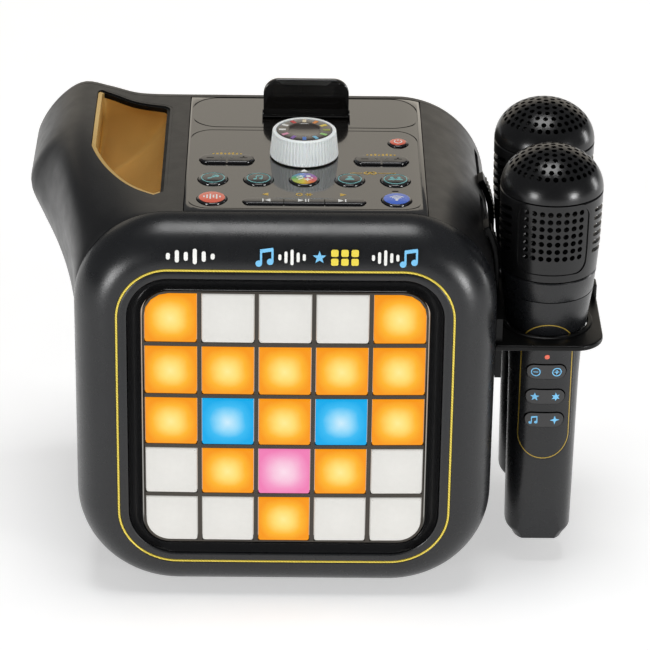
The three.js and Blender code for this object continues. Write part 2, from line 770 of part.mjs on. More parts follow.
// The phone rest stands up from the deck and folds forwards into its pan.
function phoneFlap() {
  const { x, y, width, height, thickness, barrel, pin } = FLAP;
  const pivot = BOX.top - 2;
  const shape = new THREE.Shape();
  const [w, r] = [width / 2, FLAP.corner];
  shape.moveTo(-w, 0);
  shape.lineTo(w, 0);
  shape.lineTo(w, height + 2 - r).absarc(w - r, height + 2 - r, r, 0, Math.PI / 2);
  shape.lineTo(-w + r, height + 2).absarc(-w + r, height + 2 - r, r, Math.PI / 2, Math.PI);
  const plate = slab(shape, x, pivot, y - thickness / 2, y + thickness / 2, 4);
  const hub = rod("x", [y, pivot], barrel, x - w, x + w, 12);
  const pins = rod("x", [y, pivot], pin, x - w - 2.2, x + w + 2.2, 12);
  return addAll([plate, hub, pins]);
}

// ---------------------------------------------------------------- inside the box

function speakerFrame() {
  const { x, z, radius } = SPEAKER;
  const face = BOX.back - 0.6;
  const flange = rod("y", [x, z], radius + 5, face - 3, face, 24);
  const basket = rod("y", [x, z], radius, face - 16, face - 2, 20);
  const magnet = rod("y", [x, z], 22, face - 34, face - 15, 16);
  const hollow = rod("y", [x, z], radius - 2.4, face - 13, face + 4, 20);
  const pit = rod("y", [x, z], 12, face - 25, face - 12, 14);
  return flange.add(basket).add(magnet).subtract(hollow).subtract(pit);
}

function speakerCone() {
  const { x, z, cone } = SPEAKER;
  const face = BOX.back - 4;
  const profile = [
    [0, -20],
    [10, -20],
    [10, -9],
    [cone, 0],
    [cone, 1.2],
    [10, -7],
    [0, -4],
  ];
  const points = [...profile, profile[0]].map(([r, y]) => new THREE.Vector2(r, y));
  const geometry = new THREE.LatheGeometry(points, 20).translate(x, face, z);
  return solid(geometry);
}

function speakerGrille() {
  const { x, z, radius } = SPEAKER;
  const disc = rod("y", [x, z], radius - GAP, BOX.back + 2.6, BOX.back + 5, 28);
  const holes = [];
  for (const [ring, count] of [[11, 6], [24, 13]]) {
    for (let i = 0; i < count; i++) {
      const angle = (i / count) * 2 * Math.PI;
      const place = [x + ring * Math.cos(angle), z + ring * Math.sin(angle)];
      holes.push(rod("y", place, 3.4, BOX.back, BOX.back + 8, 6));
    }
  }
  return cutAll(disc, holes);
}

function mainBoard() {
  const board = box([-60, 60, 40], [60, 61.6, 130]);
  const parts = [
    box([-40, 61.5, 60], [-16, 65, 84]),
    box([10, 61.5, 96], [34, 64, 114]),
    box([20, 61.5, 52], [48, 72, 64]),
  ];
  return addAll([board, ...parts]);
}

function batteryPack() {
  return box([-40, 72, BOX.bottom + 3.4], [40, 118, BOX.bottom + 24]);
}

// A block under the battery bay: the door's outline, grown by a margin, between two heights.
function doorBlock(grow, from, to) {
  const { x, front, back } = DOOR;
  return box([-x - grow, front - grow, from], [x + grow, back + grow, to]);
}

function batteryDoor() {
  const { bottom, wall } = BOX;
  const plate = doorBlock(0, bottom, bottom + DOOR.plate);
  return plate.add(doorBlock(-DOOR.lip, bottom, bottom + wall - 0.4));
}

function foot(x, y) {
  return turned(
    [
      [0, 0],
      [FOOT.radius - 1, 0],
      [FOOT.radius, 1],
      [FOOT.radius, BOX.bottom - GAP],
      [0, BOX.bottom - GAP],
    ],
    x, y, 14
  );
}

// ---------------------------------------------------------------- the holder on the right side

// The Y spans of the two arms that hook the holder over the box's right shoulder.
function holderArmSpans() {
  return [HOLDER.armFront, HOLDER.armRear].map((front) => [front, front + HOLDER.armWidth]);
}

// The slot in the housing's shoulder that an arm's lug slides along to come off at its rear end.
function lugHole(front, back) {
  return lug(front - GAP, back + HOLDER.slide + GAP, GAP, 8);
}

// A lug that points straight in from the shoulder, at the arm's upper end.
function lug(front, back, grow, depth) {
  const angle = THREE.MathUtils.degToRad(26);
  const shape = new THREE.Shape();
  const reach = BOX.topRadius + 1.6;
  shape.moveTo(reach - depth, -2 - grow);
  shape.lineTo(reach + grow, -2 - grow);
  shape.lineTo(reach + grow, 2 + grow);
  shape.lineTo(reach - depth, 2 + grow);
  const geometry = new THREE.ExtrudeGeometry(shape, { depth: back - front, bevelEnabled: false });
  geometry.rotateX(Math.PI / 2).rotateY(-angle);
  geometry.translate(BOX.halfWidth - BOX.topRadius, back, BOX.top - BOX.topRadius);
  return solid(geometry);
}

// One arm: it rises from the back plate and follows the shoulder's curve.
function holderArm([front, back]) {
  const centre = [BOX.halfWidth - BOX.topRadius, BOX.top - BOX.topRadius];
  const [inner, outer] = [BOX.topRadius + 0.4, BOX.topRadius + 3.4];
  const shape = new THREE.Shape();
  const end = THREE.MathUtils.degToRad(29);
  shape.moveTo(centre[0] + inner, HOLDER.top - 3);
  shape.lineTo(centre[0] + outer, HOLDER.top - 3);
  shape.lineTo(centre[0] + outer, centre[1]);
  shape.absarc(...centre, outer, 0, end);
  shape.lineTo(centre[0] + inner * Math.cos(end), centre[1] + inner * Math.sin(end));
  shape.absarc(...centre, inner, end, 0, true);
  return slab(shape, 0, 0, front, back, 4).add(lug(front, back, 0, 4.6));
}

function micHolder() {
  const { left, right, front, back, top, thickness } = HOLDER;
  const seat = handleRadius(top) + HOLDER.play;
  const middle = (MIC.rows[0] + MIC.rows[1]) / 2;
  const shape = new THREE.Shape();
  const r = 15;
  shape.moveTo(left, front);
  shape.lineTo(right - r, front).absarc(right - r, front + r, r, -Math.PI / 2, 0);
  shape.lineTo(right, back - r).absarc(right - r, back - r, r, 0, Math.PI / 2);
  shape.lineTo(left, back);
  const plate = prism(shape, 0, 0, top - thickness, top, 4);
  const backPlate = box([left, front + 4, top - 20], [left + 3.2, back - 4, top + 13]);
  const tongue = box([left, middle - 6.6, top + 10], [left + 2.4, middle + 7.4, top + 28]);
  const tab = box([right - 3, middle - 4.6, top - 1], [right, middle + 4.4, top + 7]);
  const gusset = box([left, middle - 2.1, top - 18], [left + 20, middle + 1.9, top - 1]);
  const arms = holderArmSpans().map(holderArm);
  const seats = MIC.rows.map((y) =>
    rod("z", [MIC.x, y], seat, top - 40, top + 1, 24)
  );
  return cutAll(addAll([plate, backPlate, tongue, tab, gusset, ...arms]), seats);
}

// ---------------------------------------------------------------- a microphone

// Radius of the handle at a height.
function handleRadius(z) {
  const height = z - MIC.bottom;
  const above = HANDLE_PROFILE.findIndex(([level]) => level >= height);
  if (above < 1) return HANDLE_PROFILE.at(above)[1];
  const [[h0, r0], [h1, r1]] = HANDLE_PROFILE.slice(above - 1, above + 1);
  return THREE.MathUtils.mapLinear(height, h0, h1, r0, r1);
}

// The handle's solid, less a margin: squarish in plan below, round above, with a thumb flat at the foot.
function handleBody(y, margin, heights, count) {
  const slices = heights.map((z) => {
    const radius = handleRadius(z) - margin;
    const power = THREE.MathUtils.lerp(2.6, 2, smooth(MIC.bottom + 96.5, MIC.bottom + 121.5, z));
    const waist = THREE.MathUtils.lerp(MIC.footWaist, 1, smooth(MIC.bottom, MIC.bottom + 5.5, z));
    const points = [];
    for (let k = 0; k < count; k++) {
      const angle = ((k + 0.5) / count) * 2 * Math.PI;
      const [c, s] = [Math.cos(angle), Math.sin(angle)];
      const reach = radius / Math.pow(Math.pow(Math.abs(c), power) + Math.pow(Math.abs(s), power), 1 / power);
      points.push([MIC.x + reach * c * waist, y + reach * s, z]);
    }
    return points;
  });
  const wedge = new THREE.BoxGeometry(60, 20, 120).translate(0, -10, 0);
  wedge.rotateX(THREE.MathUtils.degToRad(MIC.tilt));
  wedge.translate(MIC.x, y - handleRadius(MIC.flatTop) + margin, MIC.flatTop);
  return skin(slices, { capAxes: [0, 1] }).subtract(solid(wedge));
}

function handleShells(y) {
  const { bottom, handleTop, wall } = MIC;
  const levels = (...heights) => heights.map((height) => bottom + height);
  const outside = handleBody(y, 0, [...levels(0, 5.5, 62.5, 96.5, 112.5, 121.5), handleTop], 20);
  const inside = handleBody(y, wall, [...levels(wall, 6, 62.5, 102.5, 122.5), handleTop + 0.001], 12);
  const shell = outside.subtract(inside);
  const front = box([0, y - 40, 0], [300, y - GAP / 2, 300]);
  const rear = box([0, y + GAP / 2, 0], [300, y + 40, 300]);
  const keyHoles = MIC_KEY.levels.map((level) => {
    const shape = roundedRectangle(MIC_KEY.length + 2 * RUN, MIC_KEY.width + 2 * RUN, 9);
    return slab(shape, MIC.x, bottom + level, y - 40, y - 6, 2);
  });
  return [cutAll(shell.intersect(front), keyHoles), shell.intersect(rear)];
}

function micNeck(y) {
  const { handleTop, neckTop, neckRadius } = MIC;
  const low = handleTop + GAP;
  const base = handleRadius(handleTop) + 0.1;
  return turned(
    [
      [base - 2.5, low],
      [base, low],
      [neckRadius, neckTop],
      [neckRadius - 2.6, neckTop],
    ],
    MIC.x, y, 22
  );
}

function micBand(y) {
  const { neckTop, bandTop, headRadius, neckRadius, wall } = MIC;
  const outer = [
    [neckRadius, neckTop + GAP],
    [headRadius - 0.4, neckTop + 17],
    [headRadius, bandTop],
  ];
  const inner = [...outer].reverse().map(([r, z]) => [r - wall, z]);
  const tube = turned([...outer, ...inner], MIC.x, y, 22);
  const slots = [0, 1, 2, 3].map((i) => {
    const z = neckTop + 13 + i * 6.4;
    return box([MIC.x - 40, y - 10, z], [MIC.x + 40, y + 10, z + 2.8]);
  });
  return cutAll(tube, slots);
}

function micDome(y) {
  const { bandTop, top, headRadius, wall } = MIC;
  const base = bandTop + GAP;
  const dome = (radius, height, steps) => {
    const points = [];
    for (let i = 0; i <= steps; i++) {
      const angle = (i / steps) * (Math.PI / 2);
      points.push([radius * Math.cos(angle), base + height * Math.sin(angle)]);
    }
    return points;
  };
  const outer = dome(headRadius, top - base, 6);
  const inner = dome(headRadius - wall, top - base - wall, 4).reverse();
  outer[outer.length - 1][0] = 0;
  inner[0][0] = 0;
  return turned([...outer, ...inner], MIC.x, y, 22);
}

function micCapsule(y) {
  const { neckTop, neckRadius, wall } = MIC;
  const plate = neckRadius - wall - 0.8;
  return turned(
    [
      [0, neckTop + 2],
      [plate, neckTop + 2],
      [plate, neckTop + 4],
      [8, neckTop + 4],
      [8, neckTop + 34],
      [0, neckTop + 34],
    ],
    MIC.x, y, 14
  );
}

function micBattery(y) {
  return rod("z", [MIC.x, y + 3.5], 9, MIC.bottom + 8, MIC.bottom + 73, 14);
}

// A pill-shaped key with two thumb places, whose face follows the handle's front.
function micKey(y, z) {
  const face = y - handleRadius(z);
  const backing = roundedRectangle(MIC_KEY.length + 2, MIC_KEY.width + 3, 9);
  const pill = slab(roundedRectangle(MIC_KEY.length, MIC_KEY.width, 9), MIC.x, z, face - 2, face + 7, 2);
  const key = pill.intersect(handleBody(y, -MIC_KEY.proud, [z - 8, z + 8], 20));
  return key.add(slab(backing, MIC.x, z, face + 6.6, face + 8.4, 2));
}

// ---------------------------------------------------------------- materials and the assembly

const finish = (color, roughness, metalness = 0) =>
  new THREE.MeshStandardMaterial({ color, roughness, metalness });

const MATERIAL = {
  satin: finish(0x26282b, 0.45),
  gloss: finish(0x1b1b1a, 0.08),
  gold: finish(0xa8792f, 0.35, 0.6),
  trim: finish(0xc9b340, 0.4, 0.3),
  tile: finish(0xe8e6e0, 0.5),
  board: finish(0x1f5a34, 0.6),
  white: finish(0xe6e9e6, 0.45),
  key: finish(0x161618, 0.3),
  red: finish(0xd96a50, 0.35),
  blue: finish(0x4f74c4, 0.35),
  rubber: finish(0x141414, 0.9),
  paper: finish(0x2a2a2a, 0.9),
  metal: finish(0x8c8f94, 0.35, 0.9),
  mic: finish(0x202224, 0.3),
  battery: finish(0x3a5f8a, 0.5),
};

const assembly = new THREE.Group();

function place(name, made, material) {
  const mesh = new THREE.Mesh(geometryOf(made), material);
  mesh.name = name;
  assembly.add(mesh);
}

place("front_bezel", frontBezel(), MATERIAL.satin);
place("bezel_trim", bezelTrim(), MATERIAL.trim);
place("display_surround", displaySurround(), MATERIAL.gloss);
place("grid_frame", gridFrame(), MATERIAL.satin);
place("light_diffuser", lightDiffuser(), MATERIAL.tile);
place("led_board", ledBoard(), MATERIAL.board);
place("main_housing", mainHousing(), MATERIAL.satin);
place("handle_liner", handleLiner(), MATERIAL.gold);
place("rear_cover", rearCover(), MATERIAL.satin);
place("top_deck", topDeck(), MATERIAL.gloss);
place("phone_flap", phoneFlap(), MATERIAL.gloss);
place("knob_skirt", knobSkirt(), MATERIAL.white);
place("knob_cap", knobCap(), MATERIAL.key);
place("encoder_shaft", encoderShaft(), MATERIAL.metal);
place("encoder_body", encoderBody(), MATERIAL.metal);
place("button_board", buttonBoard(), MATERIAL.board);
for (const [name, where] of Object.entries(buttonPlaces())) {
  const colour = { button_effects: MATERIAL.red, button_power: MATERIAL.red, button_wireless: MATERIAL.blue };
  place(name, roundButton(where, buttonRadius(name)), colour[name] ?? MATERIAL.key);
}
["key_back", "key_play", "key_next"].forEach((name, i) => place(name, barKey(i - 1), MATERIAL.key));
for (const [name, where] of Object.entries(ROCKER_PLACES)) place(name, rocker(where), MATERIAL.key);
place("speaker_frame", speakerFrame(), MATERIAL.metal);
place("speaker_cone", speakerCone(), MATERIAL.paper);
place("speaker_grille", speakerGrille(), MATERIAL.satin);
place("main_board", mainBoard(), MATERIAL.board);
place("battery_pack", batteryPack(), MATERIAL.battery);
place("battery_door", batteryDoor(), MATERIAL.satin);
for (const [side, x] of [["left", -FOOT.x], ["right", FOOT.x]]) {
  place(`foot_front_${side}`, foot(x, FOOT.front), MATERIAL.rubber);
  place(`foot_rear_${side}`, foot(x, FOOT.rear), MATERIAL.rubber);
}
place("mic_holder", micHolder(), MATERIAL.satin);
MIC.rows.forEach((y, i) => {
  const mic = ["mic_a", "mic_b"][i];
  const [handleFront, handleRear] = handleShells(y);
  place(`${mic}_dome_grille`, micDome(y), MATERIAL.mic);
  place(`${mic}_head_band`, micBand(y), MATERIAL.mic);
  place(`${mic}_neck_collar`, micNeck(y), MATERIAL.mic);
  place(`${mic}_handle_front`, handleFront, MATERIAL.mic);
  place(`${mic}_handle_rear`, handleRear, MATERIAL.mic);
  place(`${mic}_capsule`, micCapsule(y), MATERIAL.metal);
  place(`${mic}_battery`, micBattery(y), MATERIAL.battery);
  ["volume", "effect_upper", "effect_lower"].forEach((key, k) => {
    place(`${mic}_key_${key}`, micKey(y, MIC.bottom + MIC_KEY.levels[k]), MATERIAL.key);
  });
});

// The working frame's place in the object's own frame, whose origin is under the middle of its box.
const bounds = new THREE.Box3().setFromObject(assembly);
const centre = bounds.getCenter(new THREE.Vector3());
assembly.position.set(-centre.x, -centre.y, -bounds.min.z);

const toyMicrophoneSet = new THREE.Group();
toyMicrophoneSet.add(assembly);

export default toyMicrophoneSet;
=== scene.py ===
"""Looks for the toy karaoke speaker with two docked microphones.

Shapes are in millimetres, in the model's working frame: X = 0 is the middle of the speaker box,
Y = 0 is the front edge of the bezel and Z = 0 is the table. show() moves them to the row frame.
"""

import math

import bmesh
import bpy
import numpy as np
from mathutils import Matrix, Vector


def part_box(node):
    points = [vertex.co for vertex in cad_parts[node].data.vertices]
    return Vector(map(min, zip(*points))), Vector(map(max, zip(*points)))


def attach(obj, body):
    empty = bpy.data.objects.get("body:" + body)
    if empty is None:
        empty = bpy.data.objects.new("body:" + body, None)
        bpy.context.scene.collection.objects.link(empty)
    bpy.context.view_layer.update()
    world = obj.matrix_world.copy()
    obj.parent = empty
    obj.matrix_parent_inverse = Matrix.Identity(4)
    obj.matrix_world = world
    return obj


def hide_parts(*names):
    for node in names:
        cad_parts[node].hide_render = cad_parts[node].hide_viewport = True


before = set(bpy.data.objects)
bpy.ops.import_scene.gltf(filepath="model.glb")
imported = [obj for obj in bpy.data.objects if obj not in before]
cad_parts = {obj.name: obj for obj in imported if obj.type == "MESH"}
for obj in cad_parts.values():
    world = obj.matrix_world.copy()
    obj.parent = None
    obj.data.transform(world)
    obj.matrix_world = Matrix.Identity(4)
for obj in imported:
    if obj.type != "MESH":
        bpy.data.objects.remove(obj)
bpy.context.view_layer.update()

MM = 0.001
SEAM_FACE = 19.7
_low, _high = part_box("front_bezel")
SHIFT = np.array([(_low.x + _high.x) / 2, _high.y - SEAM_FACE * MM, 0.0])

# ---------------------------------------------------------------- sizes, as in the CAD model

GAP, RUN = 0.3, 0.5
HALF_WIDTH, BOTTOM, TOP = 106, 3, 209
TOP_RADIUS, BOTTOM_RADIUS, WALL = 48, 52, 3
SEAM, BACK = 20, 166
MIDDLE = (TOP + BOTTOM) / 2
BULGE, INSET, WINDOW, RISE, DROP = 6, 20, 27.2, 0.92, 1.7
TILE_COUNT, TILE_PITCH, TILE_SIZE, TILE_CORNER = 5, 28.5, 25.8, 12
COVE, COVE_RADIUS = 6.6, 13.6
DECK_LEFT, DECK_RIGHT, DECK_THICKNESS = -51, 70.5, 3
DECK_UNDER = TOP - DECK_THICKNESS
PANEL_X, PANEL_PITCH, BAR_Y, ROW_B, ROW_A, ROW_C = 8.9, 23.05, 32, 35, 58.7, 83
BUTTON_RADIUS, SMALL_RADIUS, BUTTON_PROUD, BUTTON_FLANGE, BUTTON_TRAVEL = 7.4, 5, 1.4, 1.4, 1.2
BAR_LENGTH, BAR_WIDTH, BAR_PROUD, BAR_GAP = 61, 6.4, 1, 0.4
ROCKER_LENGTH, ROCKER_WIDTH, ROCKER_PROUD, ROCKER_STEP = 27.6, 9.6, 1.4, 39.5
KNOB_Y, KNOB_BOTTOM, KNOB_TOP, KNOB_HEIGHT, KNOB_LIFT, SHAFT = 90.3, 17.6, 16.4, 13.5, 0.8, 3
FLAP_X, FLAP_Y, FLAP_WIDTH, FLAP_HEIGHT, FLAP_THICK, FLAP_CORNER = 10, 148, 45, 18.5, 2.6, 8
POCKET_FLOOR, POCKET_SCOOP, LINER_WALL = 170, 1.9, 2
POCKET_RIGHT, POCKET_LEFT, POCKET_FRONT, POCKET_BACK = -62.5, -98, 46, 152
POCKET_TURN, POCKET_SLANT, BAND_START = 4, 8, -99
MIC_X, MIC_ROWS = 133.4, (48.6, 108.6)
MIC_BOTTOM, HANDLE_TOP, NECK_TOP, BAND_TOP, MIC_TOP = 15.5, 157, 168.4, 211.5, 233
HEAD_RADIUS, FLAT_TOP, TILT, FOOT_WAIST = 26, 42, 7.2, 0.84
HANDLE_HEIGHTS = (15.5, 21, 42, 78, 112, 128, 137, 148, 157)
HANDLE_RADII = (16, 17, 17.3, 17.6, 18, 19, 20.8, 21.9, 23.2)
MIC_KEY_LENGTH, MIC_KEY_WIDTH, MIC_KEY_LEVELS, MIC_KEY_PROUD = 20, 8, (116, 101.5, 88), 0.7
HOLD_LEFT, HOLD_RIGHT, HOLD_FRONT, HOLD_BACK, HOLD_TOP = 106.4, 161.4, 17.5, 140, 137
ARM_FRONTS, ARM_WIDTH, SEAT_RADIUS, SLIDE = (55, 113), 11, 21.2, 34
SPEAKER_Z, SPEAKER_RADIUS = 112, 38
BOARD_TOP = TOP - DECK_THICKNESS - 8.4
DISPLAY_Z = MIDDLE - DROP


# ---------------------------------------------------------------- mesh helpers


def lerp(a, b, share):
    return a + (b - a) * share


def smoothstep(low, high, value):
    share = min(1.0, max(0.0, (value - low) / (high - low)))
    return share * share * (3 - 2 * share)


def solid(points, faces):
    """A closed mesh object, in millimetres, with its faces turned out."""
    mesh = bpy.data.meshes.new("solid")
    mesh.from_pydata([tuple(p) for p in points], [], faces)
    work = bmesh.new()
    work.from_mesh(mesh)
    bmesh.ops.recalc_face_normals(work, faces=work.faces)
    work.to_mesh(mesh)
    work.free()
    made = bpy.data.objects.new("solid", mesh)
    bpy.context.scene.collection.objects.link(made)
    return made


def skin(slices, ring=False):
    """A skin over slices of equal point counts; an open stack is capped at both ends."""
    count = len(slices[0])
    points = [p for one in slices for p in one]
    faces = []
    for i in range(len(slices) if ring else len(slices) - 1):
        here, there = i * count, ((i + 1) % len(slices)) * count
        for k in range(count):
            after = (k + 1) % count
            faces.append((here + k, here + after, there + after, there + k))
    if not ring:
        faces.append(tuple(range(count)))
        faces.append(tuple(range(len(points) - count, len(points))))
    return solid(points, faces)


def turned(profile, centre=(0, 0, 0), segments=72, axis="z"):
    """A body turned about an axis through a point; the [radius, height] profile closes on itself."""
    points, rings, faces = [], [], []
    for radius, height in profile:
        sides = 1 if radius < 1e-6 else segments
        ring = []
        for k in range(sides):
            angle = 2 * math.pi * k / segments
            p = (radius * math.cos(angle), radius * math.sin(angle), height)
            p = {"x": (p[2], p[0], p[1]), "y": (p[0], p[2], p[1]), "z": p}[axis]
            ring.append(len(points))
            points.append(tuple(a + b for a, b in zip(p, centre)))
        rings.append(ring)
    for a, b in zip(rings, rings[1:] + rings[:1]):
        if len(a) == 1 and len(b) == 1:
            continue
        for k in range(segments):
            n = (k + 1) % segments
            loop = [a[k % len(a)], a[n % len(a)], b[n % len(b)], b[k % len(b)]]
            faces.append(tuple(dict.fromkeys(loop)))
    return solid(points, faces)


def rod(axis, centre, radius, start, end, segments=40):
    """A cylinder along an axis; centre is the other two coordinates in order."""
    place = {"x": (0, *centre), "y": (centre[0], 0, centre[1]), "z": (*centre, 0)}[axis]
    return turned([(0, start), (radius, start), (radius, end), (0, end)], place, segments, axis)


def box(low, high):
    xs, ys, zs = zip(low, high)
    points = [(x, y, z) for z in zs for y in ys for x in xs]
    faces = [(0, 1, 3, 2), (4, 5, 7, 6), (0, 1, 5, 4), (2, 3, 7, 6), (0, 2, 6, 4), (1, 3, 7, 5)]
    return solid(points, faces)


def inset(points, distance):
    """A closed outline moved inwards by a distance."""
    p = np.array(points, float)
    before, after = np.roll(p, 1, 0), np.roll(p, -1, 0)
    side = np.sign(np.sum(p[:, 0] * after[:, 1] - p[:, 1] * after[:, 0]))
    into, out = p - before, after - p
    into /= np.linalg.norm(into, axis=1)[:, None] + 1e-12
    out /= np.linalg.norm(out, axis=1)[:, None] + 1e-12
    along = into + out
    along /= np.linalg.norm(along, axis=1)[:, None] + 1e-12
    reach = distance / np.maximum(0.5, np.sum(along * out, axis=1))
    return p + np.stack([-along[:, 1], along[:, 0]], 1) * (reach * side)[:, None]


def rounded(width, height, radius, centre=(0, 0), steps=10):
    """A rectangle with round corners, anticlockwise."""
    w, h = width / 2, height / 2
    r = min(radius, w - 1e-3, h - 1e-3)
    points = []
    for sx, sy, start in ((1, -1, -90), (1, 1, 0), (-1, 1, 90), (-1, -1, 180)):
        for i in range(steps + 1):
            a = math.radians(start + 90 * i / steps)
            points.append(
                (centre[0] + sx * (w - r) + r * math.cos(a), centre[1] + sy * (h - r) + r * math.sin(a))
            )
    return points


def prism(points, low, high, fillets=(0, 0), axis="z", steps=3):
    """An outline extruded from low to high, with rounded edges at its low and high ends."""
    levels = []
    for end, sign, fillet in ((low, 1, fillets[0]), (high, -1, fillets[1])):
        rounds = []
        for i in range(steps + 1 if fillet else 1):
            a = math.radians(90 * i / steps)
            rounds.append(
                (end + sign * fillet * (1 - math.cos(a)) if fillet else end, fillet * (1 - math.sin(a)))
            )
        levels += rounds if sign > 0 else rounds[::-1]
    slices = []
    for level, margin in levels:
        flat = inset(points, margin) if margin > 1e-9 else np.array(points, float)
        slices.append([(u, level, v) if axis == "y" else (u, v, level) for u, v in flat])
    return skin(slices)


def merge(parts):
    """Several separate solids as one mesh object."""
    work = bmesh.new()
    for part in parts:
        work.from_mesh(part.data)
        bpy.data.objects.remove(part)
    mesh = bpy.data.meshes.new("merged")
    work.to_mesh(mesh)
    work.free()
    made = bpy.data.objects.new("merged", mesh)
    bpy.context.scene.collection.objects.link(made)
    return made


def combine(target, parts, operation):
    """Joins, cuts or intersects a solid with others, which are used up."""
    for part in parts:
        step = target.modifiers.new("step", "BOOLEAN")
        step.operation = operation
        step.solver = "MANIFOLD"
        step.object = part
    view = bpy.context.evaluated_depsgraph_get()
    mesh = bpy.data.meshes.new_from_object(target.evaluated_get(view))
    target.modifiers.clear()
    target.data = mesh
    for part in parts:
        bpy.data.objects.remove(part)
    return target


def cut(target, *parts):
    return combine(target, parts, "DIFFERENCE")


def join(target, *parts):
    return combine(target, parts, "UNION")


def common(target, *parts):
    return combine(target, parts, "INTERSECT")


def show(made, name, body, material, slot, replaces=(), sharp=35, origin=None, bevel=0):
    """Moves a solid to the row frame as a finished piece that rides on a body."""
    points = np.zeros(len(made.data.vertices) * 3)
    made.data.vertices.foreach_get("co", points)
    points = points.reshape(-1, 3) * MM + SHIFT
    start = np.zeros(3) if origin is None else np.array(origin) * MM + SHIFT
    made.data.vertices.foreach_set("co", (points - start).ravel())
    made.data.update()
    made.location = start
    made.name = made.data.name = name
    made.data.materials.clear()
    made.data.materials.append(material)
    made.data.shade_smooth()
    made.data.set_sharp_from_angle(angle=math.radians(sharp))
    if bevel:
        edge = made.modifiers.new("edge", "BEVEL")
        edge.width = bevel * MM
        edge.segments = 2
        edge.limit_method = "ANGLE"
        edge.angle_limit = math.radians(40)
        edge.use_clamp_overlap = True
        edge.harden_normals = True
    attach(made, body)
    if replaces:
        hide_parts(*replaces)
    return made


# ---------------------------------------------------------------- materials


def srgb(*values):
    def linear(v):
        v /= 255
        return v / 12.92 if v <= 0.04045 else ((v + 0.055) / 1.055) ** 2.4

    return (*(linear(v) for v in values), 1.0)


def shaded(colour, share):
    return (*(min(1.0, c * share) for c in colour[:3]), 1.0)


class Nodes:
    """A short way to write a material's node tree."""

    def __init__(self, name):
        self.material = bpy.data.materials.new(name)
        self.material.use_nodes = True
        self.tree = self.material.node_tree
        self.shader = self.tree.nodes["Principled BSDF"]
        self.coords = self.add("ShaderNodeTexCoord").outputs["Object"]

    def add(self, kind, **settings):
        node = self.tree.nodes.new(kind)
        for key, value in settings.items():
            setattr(node, key, value)
        return node

    def link(self, output, target):
        self.tree.links.new(output, target)

    def noise(self, scale, detail=2.0, roughness=0.5):
        node = self.add("ShaderNodeTexNoise")
        node.inputs["Scale"].default_value = scale
        node.inputs["Detail"].default_value = detail
        node.inputs["Roughness"].default_value = roughness
        self.link(self.coords, node.inputs["Vector"])
        return node.outputs["Fac"]

    def spread(self, value, low, high, source=(0.3, 0.7)):
        node = self.add("ShaderNodeMapRange")
        node.inputs["From Min"].default_value = source[0]
        node.inputs["From Max"].default_value = source[1]
        node.inputs["To Min"].default_value = low
        node.inputs["To Max"].default_value = high
        self.link(value, node.inputs["Value"])
        return node.outputs["Result"]

    def ramp(self, value, stops, constant=False):
        node = self.add("ShaderNodeValToRGB")
        band = node.color_ramp
        if constant:
            band.interpolation = "CONSTANT"
        while len(band.elements) < len(stops):
            band.elements.new(0.5)
        for element, (place, colour) in zip(band.elements, stops):
            element.position = place
            element.color = colour
        self.link(value, node.inputs["Fac"])
        return node.outputs["Color"]

    def maths(self, operation, a, b=None):
        node = self.add("ShaderNodeMath", operation=operation)
        for socket, value in zip(node.inputs, (a, b)):
            if value is None:
                continue
            if isinstance(value, (int, float)):
                socket.default_value = value
            else:
                self.link(value, socket)
        return node.outputs["Value"]

    def bump(self, height, strength, distance):
        node = self.add("ShaderNodeBump")
        node.inputs["Strength"].default_value = strength
        node.inputs["Distance"].default_value = distance
        self.link(height, node.inputs["Height"])
        self.link(node.outputs["Normal"], self.shader.inputs["Normal"])

    def set(self, **values):
        for key, value in values.items():
            self.shader.inputs[key.replace("_", " ")].default_value = value


def plastic(name, colour, roughness, grain=0.25, grain_scale=900, variation=0.08, **values):
    """Moulded plastic: broad colour mottling, uneven gloss and a fine moulded grain."""
    made = Nodes(name)
    mottle = made.noise(38, 3)
    made.link(
        made.ramp(mottle, [(0.3, shaded(colour, 1 - variation)), (0.7, shaded(colour, 1 + variation))]),
        made.shader.inputs["Base Color"],
    )
    made.link(
        made.spread(made.noise(120, 4), roughness * 0.88, roughness * 1.12),
        made.shader.inputs["Roughness"],
    )
    if grain:
        made.bump(made.noise(grain_scale, 2), grain, 0.0002)
    made.set(**values)
    return made.material


def tile_material(name, stops, strength, base):
    """A lit tile: its glow falls from a bright middle to a deeper edge, with a faint grain."""
    made = Nodes(name)
    split = made.add("ShaderNodeSeparateXYZ")
    made.link(made.coords, split.inputs["Vector"])
    half = TILE_SIZE / 2 * MM
    total = None
    for axis in ("X", "Z"):
        share = made.maths("ABSOLUTE", made.maths("DIVIDE", split.outputs[axis], half))
        power = made.maths("POWER", share, 2.6)
        total = power if total is None else made.maths("ADD", total, power)
    reach = made.maths("POWER", total, 1 / 2.6)
    cloud = made.spread(made.noise(160, 3), -0.035, 0.035)
    glow = made.ramp(made.maths("ADD", reach, cloud), stops)
    made.link(glow, made.shader.inputs["Emission Color"])
    made.link(
        made.ramp(made.noise(300, 2), [(0.3, shaded(base, 0.95)), (0.7, base)]),
        made.shader.inputs["Base Color"],
    )
    made.link(made.spread(made.noise(200, 3), 0.34, 0.42), made.shader.inputs["Roughness"])
    made.bump(made.noise(1100, 2), 0.12, 0.0001)
    made.set(Emission_Strength=strength, Specular_IOR_Level=0.2)
    return made.material


